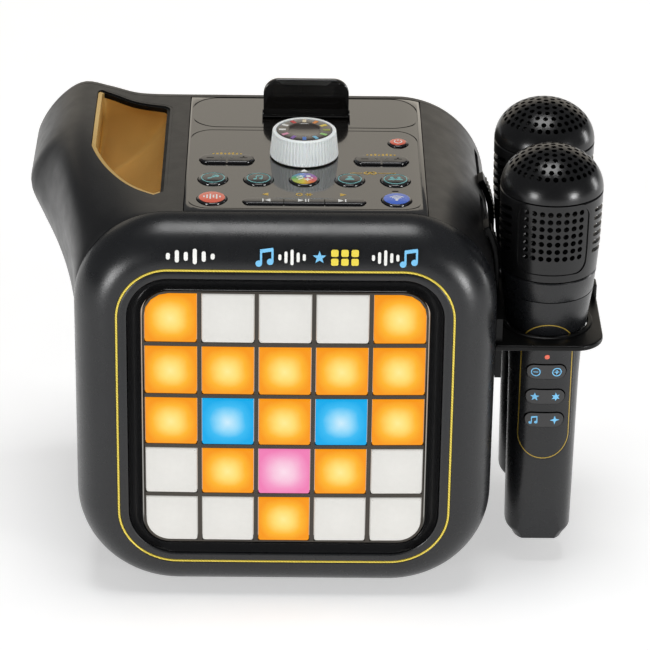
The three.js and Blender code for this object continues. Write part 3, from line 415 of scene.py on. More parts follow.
def rope_material():
    """The trim line's yellow, with fine slanted strands."""
    made = Nodes("trim_yellow")
    wave = made.add("ShaderNodeTexWave", wave_type="BANDS", bands_direction="DIAGONAL")
    wave.inputs["Scale"].default_value = 420
    wave.inputs["Distortion"].default_value = 0.6
    made.link(made.coords, wave.inputs["Vector"])
    made.link(
        made.ramp(wave.outputs["Fac"], [(0.2, srgb(206, 180, 62)), (0.7, srgb(244, 222, 92))]),
        made.shader.inputs["Base Color"],
    )
    made.link(made.spread(made.noise(500, 2), 0.3, 0.45), made.shader.inputs["Roughness"])
    made.bump(wave.outputs["Fac"], 0.4, 0.0001)
    made.set(Metallic=0.2)
    return made.material


def swirl_material():
    """The lights key: soft sectors of colour round its middle."""
    made = Nodes("key_swirl")
    gradient = made.add("ShaderNodeTexGradient", gradient_type="RADIAL")
    made.link(made.coords, gradient.inputs["Vector"])
    turn = made.maths("ADD", gradient.outputs["Fac"], made.spread(made.noise(260, 2), -0.03, 0.03))
    colours = [(70, 170, 80), (225, 205, 60), (225, 90, 60), (150, 80, 170), (60, 120, 205), (70, 170, 80)]
    stops = [(i / 5, srgb(*colour)) for i, colour in enumerate(colours)]
    made.link(made.ramp(turn, stops), made.shader.inputs["Base Color"])
    made.link(made.spread(made.noise(200, 3), 0.18, 0.28), made.shader.inputs["Roughness"])
    made.set(Coat_Weight=0.4)
    return made.material


def gold_material():
    """The pocket liner: satin gold lacquer with a fine flake."""
    made = Nodes("liner_gold")
    flake = made.add("ShaderNodeTexVoronoi")
    flake.inputs["Scale"].default_value = 2600
    made.link(made.coords, flake.inputs["Vector"])
    mottle = made.ramp(made.noise(22, 3), [(0.3, srgb(214, 176, 104)), (0.7, srgb(228, 192, 118))])
    made.link(mottle, made.shader.inputs["Base Color"])
    made.link(made.spread(flake.outputs["Distance"], 0.3, 0.44, (0, 1)), made.shader.inputs["Roughness"])
    made.bump(flake.outputs["Distance"], 0.06, 0.0001)
    made.set(Metallic=0.45, Coat_Weight=0.15)
    return made.material


# The lip's near-black colour is painted shade: it stands for the shade on the shadow side of the pocket's
# rounded edge, and it reflects little.
LIP_SHADE_BLACK = plastic("lip_painted_shade", srgb(6, 6, 6), 0.5, 0.1, 900, Specular_IOR_Level=0.2)
SATIN = plastic("shell_satin", srgb(20, 20, 21), 0.36, 0.3, 1500)
SATIN_FRONT = plastic("bezel_satin", srgb(22, 23, 25), 0.28, 0.16, 1500)
GLOSS = plastic("gloss_black", srgb(20, 19, 18), 0.07, 0.03, 70, Coat_Weight=1.0, Coat_Roughness=0.03)
DECK_GLOSS = plastic("deck_gloss", srgb(24, 22, 20), 0.12, 0.02, 60, Coat_Weight=1.0, Coat_Roughness=0.05)
COVE_GLOSS = plastic("cove_gloss", srgb(16, 16, 17), 0.14, 0.03, 80)
TRIM = rope_material()
MIC_LINE = plastic("mic_line_gold", srgb(178, 150, 62), 0.35, 0.1, 1500, 0.08, Metallic=0.4)
GOLD = gold_material()
WHITE = plastic("knob_white", srgb(252, 254, 252), 0.38, 0.15, 1200, 0.01, Subsurface_Weight=0.08)
KEY = plastic("key_black", srgb(22, 22, 24), 0.16, 0.08, 600, Coat_Weight=0.5, Coat_Roughness=0.08)
KEY_RED = plastic("key_red", srgb(232, 104, 78), 0.25, 0.1, 700, Coat_Weight=0.4)
KEY_BLUE = plastic("key_blue", srgb(66, 108, 212), 0.25, 0.1, 700, Coat_Weight=0.4)
SWIRL = swirl_material()
TEAL = plastic("print_teal", srgb(120, 184, 184), 0.4, 0.1, 1500, 0.04)
PRINT_WHITE = plastic("print_white", srgb(240, 240, 236), 0.42, 0.1, 1500, 0.03)
PRINT_GOLD = plastic("print_gold", srgb(214, 178, 74), 0.36, 0.1, 1500, 0.06, Metallic=0.3)
PRINT_BLUE = plastic("print_blue", srgb(120, 196, 240), 0.4, 0.1, 1500, 0.04)
PRINT_YELLOW = plastic("print_yellow", srgb(236, 214, 70), 0.4, 0.1, 1500, 0.04)
PRINT_GREY = plastic("print_grey", srgb(96, 96, 92), 0.4, 0.1, 1500, 0.05)
RUBBER = plastic("foot_rubber", srgb(20, 20, 20), 0.8, 0.5, 600, 0.1)
MIC_SATIN = plastic("mic_black", srgb(20, 21, 23), 0.27, 0.2, 1300)
MIC_HEAD = plastic("mic_head_black", srgb(9, 9, 10), 0.24, 0.12, 1300)
HOLDER_BLACK = plastic("holder_black", srgb(10, 10, 10), 0.3, 0.2, 1300, 0.08, Specular_IOR_Level=0.2)
CAPSULE = plastic("capsule_dark", srgb(16, 16, 17), 0.8, 0.4, 700, 0.1, Specular_IOR_Level=0.1)
BOARD = plastic("circuit_board", srgb(28, 92, 54), 0.45, 0.4, 420, 0.25)
METAL = plastic("metal_part", srgb(150, 152, 156), 0.32, 0.2, 800, 0.06, Metallic=0.9)
PAPER = plastic("cone_paper", srgb(38, 37, 36), 0.85, 0.7, 700, 0.15)
WRAP = plastic("battery_wrap", srgb(58, 95, 138), 0.4, 0.1, 500, 0.06)
GRID = plastic("grid_black", srgb(52, 46, 38), 0.5, 0.2, 1200, 0.1)

TILE_LOOKS = {
    "W": tile_material(
        "tile_white", [(0.0, srgb(168, 167, 163)), (1.0, srgb(158, 157, 153))], 1.0, srgb(170, 169, 166)
    ),
    "O": tile_material(
        "tile_orange",
        [
            (0.0, srgb(255, 236, 150)),
            (0.35, srgb(255, 219, 112)),
            (0.7, srgb(251, 180, 40)),
            (1.0, srgb(246, 150, 8)),
        ],
        1.0,
        srgb(36, 24, 6),
    ),
    "B": tile_material(
        "tile_blue",
        [
            (0.0, srgb(206, 236, 250)),
            (0.4, srgb(140, 213, 247)),
            (0.7, srgb(52, 184, 240)),
            (1.0, srgb(0, 168, 232)),
        ],
        1.0,
        srgb(6, 30, 40),
    ),
    "P": tile_material(
        "tile_pink",
        [
            (0.0, srgb(249, 222, 235)),
            (0.4, srgb(246, 196, 220)),
            (0.75, srgb(242, 152, 196)),
            (1.0, srgb(238, 126, 180)),
        ],
        1.0,
        srgb(40, 16, 28),
    ),
}
TILE_PATTERN = ("OWWWO", "OOOOO", "OBOBO", "WOPOW", "WWOWW")

# ---------------------------------------------------------------- the box and its flared shoulder

SHOULDER_STEPS = 64


def even_spacing(points, count):
    """A polyline resampled into count equal steps along its length."""
    p = np.array(points, float)
    along = np.concatenate([[0], np.cumsum(np.linalg.norm(np.diff(p, axis=0), axis=1))])
    places = np.linspace(0, along[-1], count + 1)
    return np.stack([np.interp(places, along, p[:, 0]), np.interp(places, along, p[:, 1])], 1)


def plain_shoulder():
    cx, cz = -HALF_WIDTH + TOP_RADIUS, TOP - TOP_RADIUS
    points = [(cx + 4, TOP)]
    for i in range(61):
        a = math.radians(90 + 1.5 * i)
        points.append((cx + TOP_RADIUS * math.cos(a), cz + TOP_RADIUS * math.sin(a)))
    points.append((-HALF_WIDTH, TOP - 114))
    return even_spacing(points, SHOULDER_STEPS)


def flared_shoulder():
    side, top = -HALF_WIDTH, TOP
    control = [
        (side + TOP_RADIUS + 4, top),
        (side + 28, top + 0.6),
        (side + 12, top + 4.6),
        (side - 2, top + 7),
        (side - 14, top - 0.5),
        (side - 24, top - 14),
        (side - 27.5, top - 27),
        (side - 21.5, top - 43),
        (side - 14, top - 60),
        (side - 6, top - 82),
        (side, top - 114),
    ]
    p = np.array([control[0], *control, control[-1]], float)
    points = []
    for i in range(len(control) - 1):
        p0, p1, p2, p3 = p[i : i + 4]
        for t in np.linspace(0, 1, 24, endpoint=False):
            a, b = (p2 - p0) / 2, (p3 - p1) / 2
            points.append(
                (2 * p1 - 2 * p2 + a + b) * t**3 + (-3 * p1 + 3 * p2 - 2 * a - b) * t**2 + a * t + p1
            )
    points.append(p[-1])
    return even_spacing(points, SHOULDER_STEPS)


PLAIN, FLARED = plain_shoulder(), flared_shoulder()


def swell(y, share):
    """How far the shoulder has swollen at depth y: the rim leads, and the bulge below it follows."""
    turn = min(1.0, max(0.0, (y - 20) / 108))
    along = min(1.0, max(0.0, (y - SEAM) / 92))
    return lerp(math.sin(math.pi / 2 * turn) ** 0.75, along * along, smoothstep(0.3, 0.55, share))


def outline(y):
    """The box's outline in X and Z at depth y, anticlockwise from the lower right."""
    points = []

    def arc(x, z, radius, start, steps):
        for i in range(steps + 1):
            a = math.radians(start + 90 * i / steps)
            points.append((x + radius * math.cos(a), z + radius * math.sin(a)))

    arc(HALF_WIDTH - BOTTOM_RADIUS, BOTTOM + BOTTOM_RADIUS, BOTTOM_RADIUS, -90, 22)
    arc(HALF_WIDTH - TOP_RADIUS, TOP - TOP_RADIUS, TOP_RADIUS, 0, 24)
    for i in range(SHOULDER_STEPS + 1):
        mixed = lerp(PLAIN[i], FLARED[i], swell(y, i / SHOULDER_STEPS))
        points.append((mixed[0], mixed[1]))
    arc(-HALF_WIDTH + BOTTOM_RADIUS, BOTTOM + BOTTOM_RADIUS, BOTTOM_RADIUS, 180, 22)
    return points


def box_body(depths, margin):
    slices = []
    for y in depths:
        flat = inset(outline(y), margin) if margin else outline(y)
        slices.append([(x, y, z) for x, z in flat])
    return skin(slices)


HOUSING_DEPTHS = [SEAM + (BACK - SEAM) * (i / 44) ** 1.35 for i in range(45)]


def pocket_plan(lean, margin):
    """The plan of the pocket: lean runs from 0 at the mouth to 1 at the floor."""
    right, left = lerp(POCKET_RIGHT, -97, lean), lerp(POCKET_LEFT, -103, lean)
    front, back, bow = lerp(POCKET_FRONT, 90, lean), lerp(POCKET_BACK, 148, lean), lerp(45, 18, lean)
    pull, turn, slant = lerp(8, 2, lean), lerp(POCKET_TURN, 2, lean), lerp(POCKET_SLANT, 0, lean)
    slope = slant / (right - left)
    points = [(right, front)]

    def bend(control, end, steps):
        start = points[-1]
        for i in range(1, steps + 1):
            t = i / steps
            points.append(
                tuple(
                    (1 - t) ** 2 * a + 2 * t * (1 - t) * b + t * t * c for a, b, c in zip(start, control, end)
                )
            )

    for i in range(1, 13):
        points.append((right, lerp(front, back - turn, i / 12)))
    bend((right, back), (right - turn, back + slope * turn), 6)
    points.append((left + turn, back + slant - slope * turn))
    bend((left, back + slant), (left, back + slant - turn), 6)
    points.append((left, front + bow))
    bend((left + pull, front + 2 * pull), (right - turn, front - 3), 24)
    return inset(points, -margin) if margin else np.array(points)


def pocket_funnel(margin, floor, up_to):
    """The pocket's hollow, or the outside of the liner round it."""
    mouth = TOP - 2
    slices = [[(x, y, up_to) for x, y in pocket_plan(0, margin)]]
    for i in range(19):
        share = i / 18
        plan = pocket_plan(share**POCKET_SCOOP, margin)
        slices.append([(x, y, lerp(mouth, floor, share)) for x, y in plan])
    return skin(slices)


def lug_block(front, back, grow, depth):
    """A block that points straight in from the right shoulder at 26 degrees."""
    reach = TOP_RADIUS + 1.6
    a = math.radians(26)
    corners = [
        (reach - depth, -2 - grow),
        (reach + grow, -2 - grow),
        (reach + grow, 2 + grow),
        (reach - depth, 2 + grow),
    ]
    flat = []
    for u, v in corners:
        x = HALF_WIDTH - TOP_RADIUS + u * math.cos(a) - v * math.sin(a)
        z = TOP - TOP_RADIUS + u * math.sin(a) + v * math.cos(a)
        flat.append((x, z))
    return skin([[(x, y, z) for x, z in flat] for y in (front, back)])


def build_housing():
    shell = box_body(HOUSING_DEPTHS, 0)
    hollow = box_body([19, 24, 30, 38, 48, 60, 74, 88, 102, 116, 130, 167], WALL)
    deck_hole = box((DECK_LEFT - GAP, -1, TOP - DECK_THICKNESS - 1.4), (DECK_RIGHT + GAP, 400, TOP + 1))
    bay = box((-42.3, 67.7, BOTTOM - 1), (42.3, 122.3, BOTTOM + WALL + 1))
    door = box((-45.3, 64.7, BOTTOM - 1), (45.3, 125.3, BOTTOM + 1.6))
    pocket = pocket_funnel(LINER_WALL + GAP, POCKET_FLOOR - LINER_WALL - GAP, TOP + 20)
    slots = [lug_block(front - GAP, front + ARM_WIDTH + SLIDE + GAP, GAP, 8) for front in ARM_FRONTS]
    cut(shell, hollow, deck_hole, bay, door, pocket, *slots)
    show(shell, "housing_shell", "speaker_box", SATIN, "shell_satin", ("main_housing",), 32)


def edge_band(near, far):
    """A band along the pocket's right and rear sides, between two distances out from its mouth."""
    points = []
    slanted = (POCKET_RIGHT - BAND_START) * POCKET_SLANT / (POCKET_RIGHT - POCKET_LEFT)
    for out in (near, far):
        right, back, turn = POCKET_RIGHT + out, POCKET_BACK + out, POCKET_TURN + out
        run = [(BAND_START, back + slanted)]
        for i in range(9):
            a = i / 8 * math.pi / 2
            run.append(
                (right - turn + turn * math.sin(a), back - turn + turn * math.cos(a) + 0.9 * (1 - i / 8))
            )
        run.append((right, POCKET_FRONT - 3))
        points += run if out == near else run[::-1]
    return prism(points, TOP - 19, TOP + 23)


def build_liner():
    outside = pocket_funnel(LINER_WALL, POCKET_FLOOR - LINER_WALL, TOP + 20)
    cut(outside, pocket_funnel(0, POCKET_FLOOR, TOP + 21))
    common(outside, box_body(HOUSING_DEPTHS, 0.7))
    above = edge_band(-1, 2.6)
    cut(above, box_body(HOUSING_DEPTHS, 3.4))
    cut(outside, above)
    show(outside, "pocket_liner", "speaker_box", GOLD, "liner_gold", ("handle_liner",), 32)
    # The lip along the pocket's right and rear sides is painted near-black as shade from the shadow side of
    # the rounded edge.
    lip = edge_band(-0.8, 0.8)
    common(lip, box_body(HOUSING_DEPTHS, 0.7))
    cut(lip, box_body(HOUSING_DEPTHS, 3.2))
    show(lip, "pocket_lip", "speaker_box", LIP_SHADE_BLACK, "gloss_black", (), 40)
    rim = edge_band(0.8, 2.25)
    common(rim, box_body(HOUSING_DEPTHS, 0.05))
    cut(rim, box_body(HOUSING_DEPTHS, 3.2))
    show(rim, "pocket_rim", "speaker_box", SATIN, "shell_satin", (), 40)


def build_rear():
    rims = (
        (BACK + GAP, 0.01),
        (BACK + 3, 0.01),
        (BACK + 4, 0.25),
        (BACK + 4.9, 0.9),
        (BACK + 5.6, 1.8),
        (BACK + 6, 3),
    )
    plate = skin([[(x, y, z) for x, z in inset(outline(BACK), margin)] for y, margin in rims])
    places = ((-84, 30), (84, 30), (86, 170), (-84, 150))
    recesses = [rod("y", place, 3.6, BACK + 3, BACK + 8, 32) for place in places]
    port = prism(rounded(13, 6, 2, (-52, 44)), BACK - 2, BACK + 10, axis="y")
    mouth = rod("y", (0, SPEAKER_Z), SPEAKER_RADIUS, 160, 180, 96)
    ring_groove = turned(
        [(43, BACK + 5.4), (44.2, BACK + 5.4), (44.2, BACK + 8), (43, BACK + 8)], (0, 0, SPEAKER_Z), 96, "y"
    )
    cut(plate, mouth, port, ring_groove, *recesses)
    show(plate, "rear_shell", "speaker_box", SATIN, "shell_satin", ("rear_cover",), 32)
    disc = turned(
        [(0, BACK + 2.6), (37.7, BACK + 2.6), (37.7, BACK + 4.4), (37.1, BACK + 5), (0, BACK + 5)],
        (0, 0, SPEAKER_Z), 96, "y",
    )
    holes = []
    for ring in range(1, 8):
        for i in range(6 * ring):
            a = 2 * math.pi * (i + 0.5 * (ring % 2)) / (6 * ring)
            place = (4.9 * ring * math.cos(a), SPEAKER_Z + 4.9 * ring * math.sin(a))
            holes.append(rod("y", place, 1.5, BACK, BACK + 8, 12))
    holes.append(rod("y", (0, SPEAKER_Z), 1.5, BACK, BACK + 8, 12))
    cut(disc, merge(holes))
    show(disc, "rear_grille", "speaker_box", SATIN, "shell_satin", ("speaker_grille",), 32)
    for i, (x, z) in enumerate(places):
        head = turned(
            [(0, BACK + 3.1), (3, BACK + 3.1), (3, BACK + 4), (2.4, BACK + 4.5), (0, BACK + 4.7)],
            (x, 0, z),
            32,
            "y",
        )
        cut(head, box((x - 1.9, BACK + 4.1, z - 0.35), (x + 1.9, BACK + 6, z + 0.35)),
            box((x - 0.35, BACK + 4.1, z - 1.9), (x + 0.35, BACK + 6, z + 1.9)))
        show(head, f"screw_{i + 1}", "speaker_box", METAL, "metal_part")


def build_underside():
    door = prism(rounded(89.6, 59.6, 2, (0, 95)), BOTTOM, BOTTOM + 1.3, (0.4, 0))
    notch = rod("y", (0, BOTTOM - 3.4), 5, 60, 74, 40)
    ribs = [box((-12, 112 + 2.2 * i, BOTTOM - 1), (12, 113 + 2.2 * i, BOTTOM + 0.4)) for i in range(4)]
    cut(door, notch, *ribs)
    show(door, "door_panel", "speaker_box", SATIN, "shell_satin", ("battery_door",), 32)
    for side, x in (("left", -44), ("right", 44)):
        for end, y in (("front", 36), ("rear", 146)):
            profile = [
                (0, 0),
                (5.2, 0),
                (5.5, 0.5),
                (6.1, 0.5),
                (6.4, 0),
                (7.3, 0),
                (7.8, 0.3),
                (8, 0.9),
                (8, 2.7),
                (0, 2.7),
            ]
            foot = turned(profile, (x, y, 0), 48)
            show(
                foot,
                f"rubber_foot_{end}_{side}",
                "speaker_box",
                RUBBER,
                "foot_rubber",
                (f"foot_{end}_{side}",),
            )


# ---------------------------------------------------------------- front


def bulge(x, z):
    """How far the pillowed front stands out at a point."""
    up, across = (z - MIDDLE) / 104, x / 107
    return BULGE * max(0, 1 - up * up) * (1 - 0.35 * across * across)


def front_outline(distance):
    """The front's outline at a distance in from the box's edge."""
    side = HALF_WIDTH - distance
    middle = MIDDLE - DROP * smoothstep(0, INSET, distance)
    tall = (TOP - BOTTOM) / 2 - RISE * distance
    past = max(0, distance - WINDOW) / (COVE + GAP)
    upper = lerp(TOP_RADIUS - min(distance, WINDOW), COVE_RADIUS, past)
    lower = lerp(BOTTOM_RADIUS - min(distance, WINDOW), COVE_RADIUS, past)
    points = []

    def corner(sx, sz, start, radius):
        for i in range(23):
            a = math.radians(start + 90 * i / 22)
            points.append(
                (
                    sx * (side - radius) + radius * math.cos(a),
                    middle + sz * (tall - radius) + radius * math.sin(a),
                )
            )

    def run(ahead):
        behind = points[-1]
        for i in range(1, 16):
            points.append((lerp(behind[0], ahead[0], i / 16), lerp(behind[1], ahead[1], i / 16)))

    corner(1, -1, -90, lower)
    run((side, middle + tall - upper))
    corner(1, 1, 0, upper)
    run((-side + upper, middle + tall))
    corner(-1, 1, 90, upper)
    run((-side, middle - tall + lower))
    corner(-1, -1, 180, lower)
    run((side - lower, middle - tall))
    return points


def front_ring(section):
    """A frame round the front; its section is [distance in from the edge, y] pairs."""
    outlines = [front_outline(distance) for distance, _ in section]
    slices = []
    for i in range(len(outlines[0])):
        ring = []
        for (_, y), points in zip(section, outlines):
            x, z = points[i]
            ring.append((x, y - bulge(x, z) * max(0, 1 - y / SEAM), z))
        slices.append(ring)
    return skin(slices, ring=True)


def build_front():
    outer = []
    for degrees in range(0, 91, 6):
        a = math.radians(degrees)
        outer.append((INSET * (1 - math.cos(a)), SEAM_FACE * (1 - math.sin(a))))
    groove = [(21.05, 0), (21.3, 0.15), (21.3, 0.9), (22.9, 0.9), (22.9, 0.15), (23.15, 0)]
    inner = [
        (25.4, 0.02), (26.4, 0.12), (27, 0.45), (27.2, 1), (27.2, 8), (20, 3.4), (9, 6.5), (3, SEAM_FACE)
    ]
    bezel = front_ring(outer + groove + inner)
    show(bezel, "bezel_shell", "speaker_box", SATIN_FRONT, "shell_satin", ("front_bezel",), 40)
    trim = front_ring([(21.55, 0.6), (21.6, 0), (21.85, -0.16), (22.35, -0.16), (22.6, 0), (22.65, 0.6)])
    show(trim, "trim_line", "speaker_box", TRIM, "trim_yellow", ("bezel_trim",), 60)
    edge = WINDOW + GAP
    cove = [
        (edge, 1.2), (edge + 0.5, 1.7), (edge + 2, 3.2), (edge + 3.4, 3.8), (edge + 5, 3), (edge + 6.1, 1.6)
    ]
    cove += [(edge + 6.4, 1.3), (edge + 6.6, 1.6), (edge + 6.6, 8), (edge, 8)]
    show(
        front_ring(cove), "surround_cove", "speaker_box", COVE_GLOSS, "gloss_black", ("display_surround",), 40
    )


def tile_outline(row, column, grow):
    """A tile's outline about its middle: square, round where it fills a corner of the display."""
    last = TILE_COUNT - 1
    half = TILE_SIZE / 2 + grow
    corners = (
        (1, -1, row == last and column == last),
        (1, 1, row == 0 and column == last),
        (-1, 1, row == 0 and column == 0),
        (-1, -1, row == last and column == 0),
    )
    points = []
    for i, (sx, sz, is_round) in enumerate(corners):
        radius = (TILE_CORNER if is_round else 1.2) + grow
        for k in range(11):
            a = math.radians(90 * (i - 1) + 9 * k)
            points.append(
                (sx * (half - radius) + radius * math.cos(a), sz * (half - radius) + radius * math.sin(a))
            )
    return points


def build_tiles():
    rings = ((9, 0, 1), (1.5, 0, 1), (1.05, 0.12, 1), (0.78, 0.4, 1), (0.68, 0.8, 1), (0.62, 1.6, 1))
    for row in range(TILE_COUNT):
        for column in range(TILE_COUNT):
            x0 = (column - 2) * TILE_PITCH
            z0 = DISPLAY_Z + (2 - row) * TILE_PITCH
            slices = []
            for y, margin, _ in rings:
                flat = inset(tile_outline(row, column, 0), margin) if margin else tile_outline(row, column, 0)
                slices.append([(x0 + u, y - bulge(x0 + u, z0 + v), z0 + v) for u, v in flat])
            for scale in (0.75, 0.5, 0.25, 0.02):
                flat = np.array(inset(tile_outline(row, column, 0), 1.6)) * scale
                slices.append([(x0 + u, 0.55 - bulge(x0 + u, z0 + v), z0 + v) for u, v in flat])
            tile = skin(slices)
            look = TILE_LOOKS[TILE_PATTERN[row][column]]
            nodes = ("light_diffuser",) if row == column == 0 else ()
            show(
                tile,
                f"tile_{row + 1}_{column + 1}",
                "speaker_box",
                look,
                "tile_diffuser",
                nodes,
                50,
                (x0, 0, z0),
            )
    back = prism(rounded(150, 150, 15, (0, DISPLAY_Z)), 8.9, 10.6, axis="y")
    show(back, "tile_back_plate", "speaker_box", TILE_LOOKS["W"], "tile_diffuser")


# ---------------------------------------------------------------- printed and raised marks


def disc(x, y, r, count=22):
    return [
        (x + r * math.cos(2 * math.pi * k / count), y + r * math.sin(2 * math.pi * k / count))
        for k in range(count)
    ]


def bar(x0, y0, x1, y1, width):
    length = math.hypot(x1 - x0, y1 - y0)
    u, v = -(y1 - y0) / length * width / 2, (x1 - x0) / length * width / 2
    return [(x0 - u, y0 - v), (x1 - u, y1 - v), (x1 + u, y1 + v), (x0 + u, y0 + v)]


def arc(x, y, r, width, start, end, count=14):
    angles = [math.radians(lerp(start, end, k / count)) for k in range(count + 1)]
    outside = [(x + (r + width / 2) * math.cos(a), y + (r + width / 2) * math.sin(a)) for a in angles]
    inside = [
        (x + (r - width / 2) * math.cos(a), y + (r - width / 2) * math.sin(a)) for a in reversed(angles)
    ]
    return outside + inside


def hoop(x, y, r, width):
    return [arc(x, y, r, width, 0, 180, 24), arc(x, y, r, width, 180, 360, 24)]


def star(x, y, r, arms=5, ratio=0.42):
    points = []
    for k in range(2 * arms):
        a = math.pi / 2 + math.pi * k / arms
        reach = r if k % 2 == 0 else r * ratio
        points.append((x + reach * math.cos(a), y + reach * math.sin(a)))
    return points


def star_strokes(x, y, r):
    """Three crossed strokes."""
    strokes = []
    for k in range(3):
        c, s = math.cos(math.pi * k / 3), math.sin(math.pi * k / 3)
        strokes.append(bar(x - r * c, y - r * s, x + r * c, y + r * s, 0.6))
    return strokes


def note(x, y, s):
    """A pair of joined notes, s high."""
    return [
        disc(x - 0.42 * s, y - 0.42 * s, 0.2 * s),
        disc(x + 0.28 * s, y - 0.3 * s, 0.2 * s),
        bar(x - 0.28 * s, y - 0.42 * s, x - 0.28 * s, y + 0.42 * s, 0.13 * s),
        bar(x + 0.42 * s, y - 0.3 * s, x + 0.42 * s, y + 0.54 * s, 0.13 * s),
        bar(x - 0.33 * s, y + 0.38 * s, x + 0.47 * s, y + 0.5 * s, 0.22 * s),
    ]


def person(x, y, s):
    return [disc(x, y + 0.28 * s, 0.24 * s), arc(x, y - 0.52 * s, 0.28 * s, 0.5 * s, 8, 172)]


def decal(name, shapes, place, body, material, slot, lift=0.09, depth=0.25):
    """Thin raised marks: 2-D shapes laid on a surface; place maps (u, v, height) to a point."""
    points, faces = [], []
    for shape in shapes:
        start, count = len(points), len(shape)
        for height in (-depth, lift):
            points += [place(u, v, height) for u, v in shape]
        for k in range(count):
            n = (k + 1) % count
            faces.append((start + k, start + n, start + count + n, start + count + k))
        faces.append(tuple(range(start, start + count)))
        faces.append(tuple(range(start + count, start + 2 * count)))
    return show(solid(points, faces), name, body, material, slot, sharp=30)


def deck_top(x):
    past = max(0, abs(x) - (HALF_WIDTH - TOP_RADIUS))
    return TOP - TOP_RADIUS + math.sqrt(TOP_RADIUS**2 - past**2)


def on_deck(x, y):
    return lambda u, v, h: (x + u, y + v, deck_top(x + u) + h)


def on_button(x, y, radius, lift=0.0):
    def place(u, v, h):
        return (x + u, y + v, TOP + BUTTON_PROUD - 0.5 * (u * u + v * v) / radius**2 + lift + h)

    return place


def on_flat(x, y, z):
    return lambda u, v, h: (x + u, y + v, z + h)


def on_front(x, z):
    return lambda u, v, h: (x + u, -bulge(x + u, z + v) - h, z + v)


# ---------------------------------------------------------------- deck


def across(step):
    return PANEL_X + step * PANEL_PITCH


BUTTONS = {
    "button_voice": (across(-2), ROW_A),
    "button_music": (across(-1), ROW_A),
    "button_lights": (across(0), ROW_A),
    "button_one_player": (across(1), ROW_A),
    "button_two_players": (across(2), ROW_A),
    "button_effects": (across(-2), ROW_B),
    "button_wireless": (across(2), ROW_B),
    "button_power": (57.5, 105.8),
}
def button_radius(name):
    return SMALL_RADIUS if name == "button_power" else BUTTON_RADIUS


ROCKERS = {"rocker_reverb": PANEL_X - ROCKER_STEP, "rocker_volume": PANEL_X + ROCKER_STEP}


def groove_cutter(points, width, depth):
    """A cutter for a line engraved in the deck along a closed outline."""
    inner, outer = inset(points, width / 2), inset(points, -width / 2)
    slices = []
    for (xi, yi), (xo, yo) in zip(inner, outer):
        slices.append(
            [
                (xi, yi, deck_top(xi) - depth),
                (xo, yo, deck_top(xo) - depth),
                (xo, yo, TOP + 3),
                (xi, yi, TOP + 3),
            ]
        )
    return skin(slices, ring=True)


def build_deck():
    edge = 0.45
    xs = [DECK_LEFT, DECK_LEFT + 0.15, DECK_LEFT + edge, *np.linspace(-46, 58, 9), *np.linspace(59, 69.9, 14)]
    xs += [DECK_RIGHT - 0.15, DECK_RIGHT]
    slices = []
    for y, down in (
        (SEAM + GAP, 0.45),
        (SEAM + GAP + 0.15, 0.12),
        (SEAM + GAP + 0.5, 0),
        (BACK - GAP - 0.5, 0),
        (BACK - GAP - 0.15, 0.12),
        (BACK - GAP, 0.45),
    ):
        top = []
        for x in xs:
            side = min(x - DECK_LEFT, DECK_RIGHT - x)
            fall = 0 if side >= edge - 1e-6 else edge - math.sqrt(edge**2 - (edge - side) ** 2)
            top.append((x, y, deck_top(x) - fall - down))
        slices.append([(DECK_LEFT, y, DECK_UNDER), (DECK_RIGHT, y, DECK_UNDER)] + top[::-1])
    plate = skin(slices)
    holes = []
    for name, place in BUTTONS.items():
        holes.append(rod("z", place, button_radius(name) + RUN, DECK_UNDER - 1, TOP + 2, 56))
    holes.append(
        prism(
            rounded(BAR_LENGTH + 2 * RUN, BAR_WIDTH + 2 * RUN, 9, (PANEL_X, BAR_Y)), DECK_UNDER - 1, TOP + 2
        )
    )
    for x in ROCKERS.values():
        hole = rounded(ROCKER_LENGTH + 2 * RUN, ROCKER_WIDTH + 2 * RUN, 9, (x, ROW_C), 16)
        holes.append(prism(hole, DECK_UNDER - 1, TOP + 2))
    holes.append(rod("z", (PANEL_X, KNOB_Y), SHAFT + 0.6, DECK_UNDER - 1, TOP + 2))
    holes.append(prism(rounded(3.4, 1.3, 0.6, (54.6, 46.2), 6), TOP - 1, TOP + 2))
    holes.append(
        box(
            (FLAP_X - FLAP_WIDTH / 2 - RUN, FLAP_Y - FLAP_HEIGHT - 2.4, DECK_UNDER - 1.2),
            (FLAP_X + FLAP_WIDTH / 2 + RUN, FLAP_Y + 1.3 + GAP, TOP + 2),
        )
    )
    panel = rounded(117.1, 98, 11, (9.05, 73), 12)
    inlay = rounded(118, 39, 14, (9.5, 145.5), 12)
    grooves = [groove_cutter(panel, 0.7, 0.4), groove_cutter(inlay, 0.8, 0.45)]
    pan_low = (FLAP_X - FLAP_WIDTH / 2 - 3, FLAP_Y - FLAP_HEIGHT - 5, DECK_UNDER - 2.6)
    pan_high = (FLAP_X + FLAP_WIDTH / 2 + 3, FLAP_Y + 4.3, DECK_UNDER + 0.5)
    join(plate, box(pan_low, pan_high))
    pin_hole = rod(
        "x", (FLAP_Y, TOP - 2), 1.15, FLAP_X - FLAP_WIDTH / 2 - 2.6, FLAP_X + FLAP_WIDTH / 2 + 2.6, 24
    )
    cut(plate, *holes, pin_hole)
    cut(plate, *grooves)
    show(plate, "deck_plate", "speaker_box", DECK_GLOSS, "gloss_black", ("top_deck",), 30)


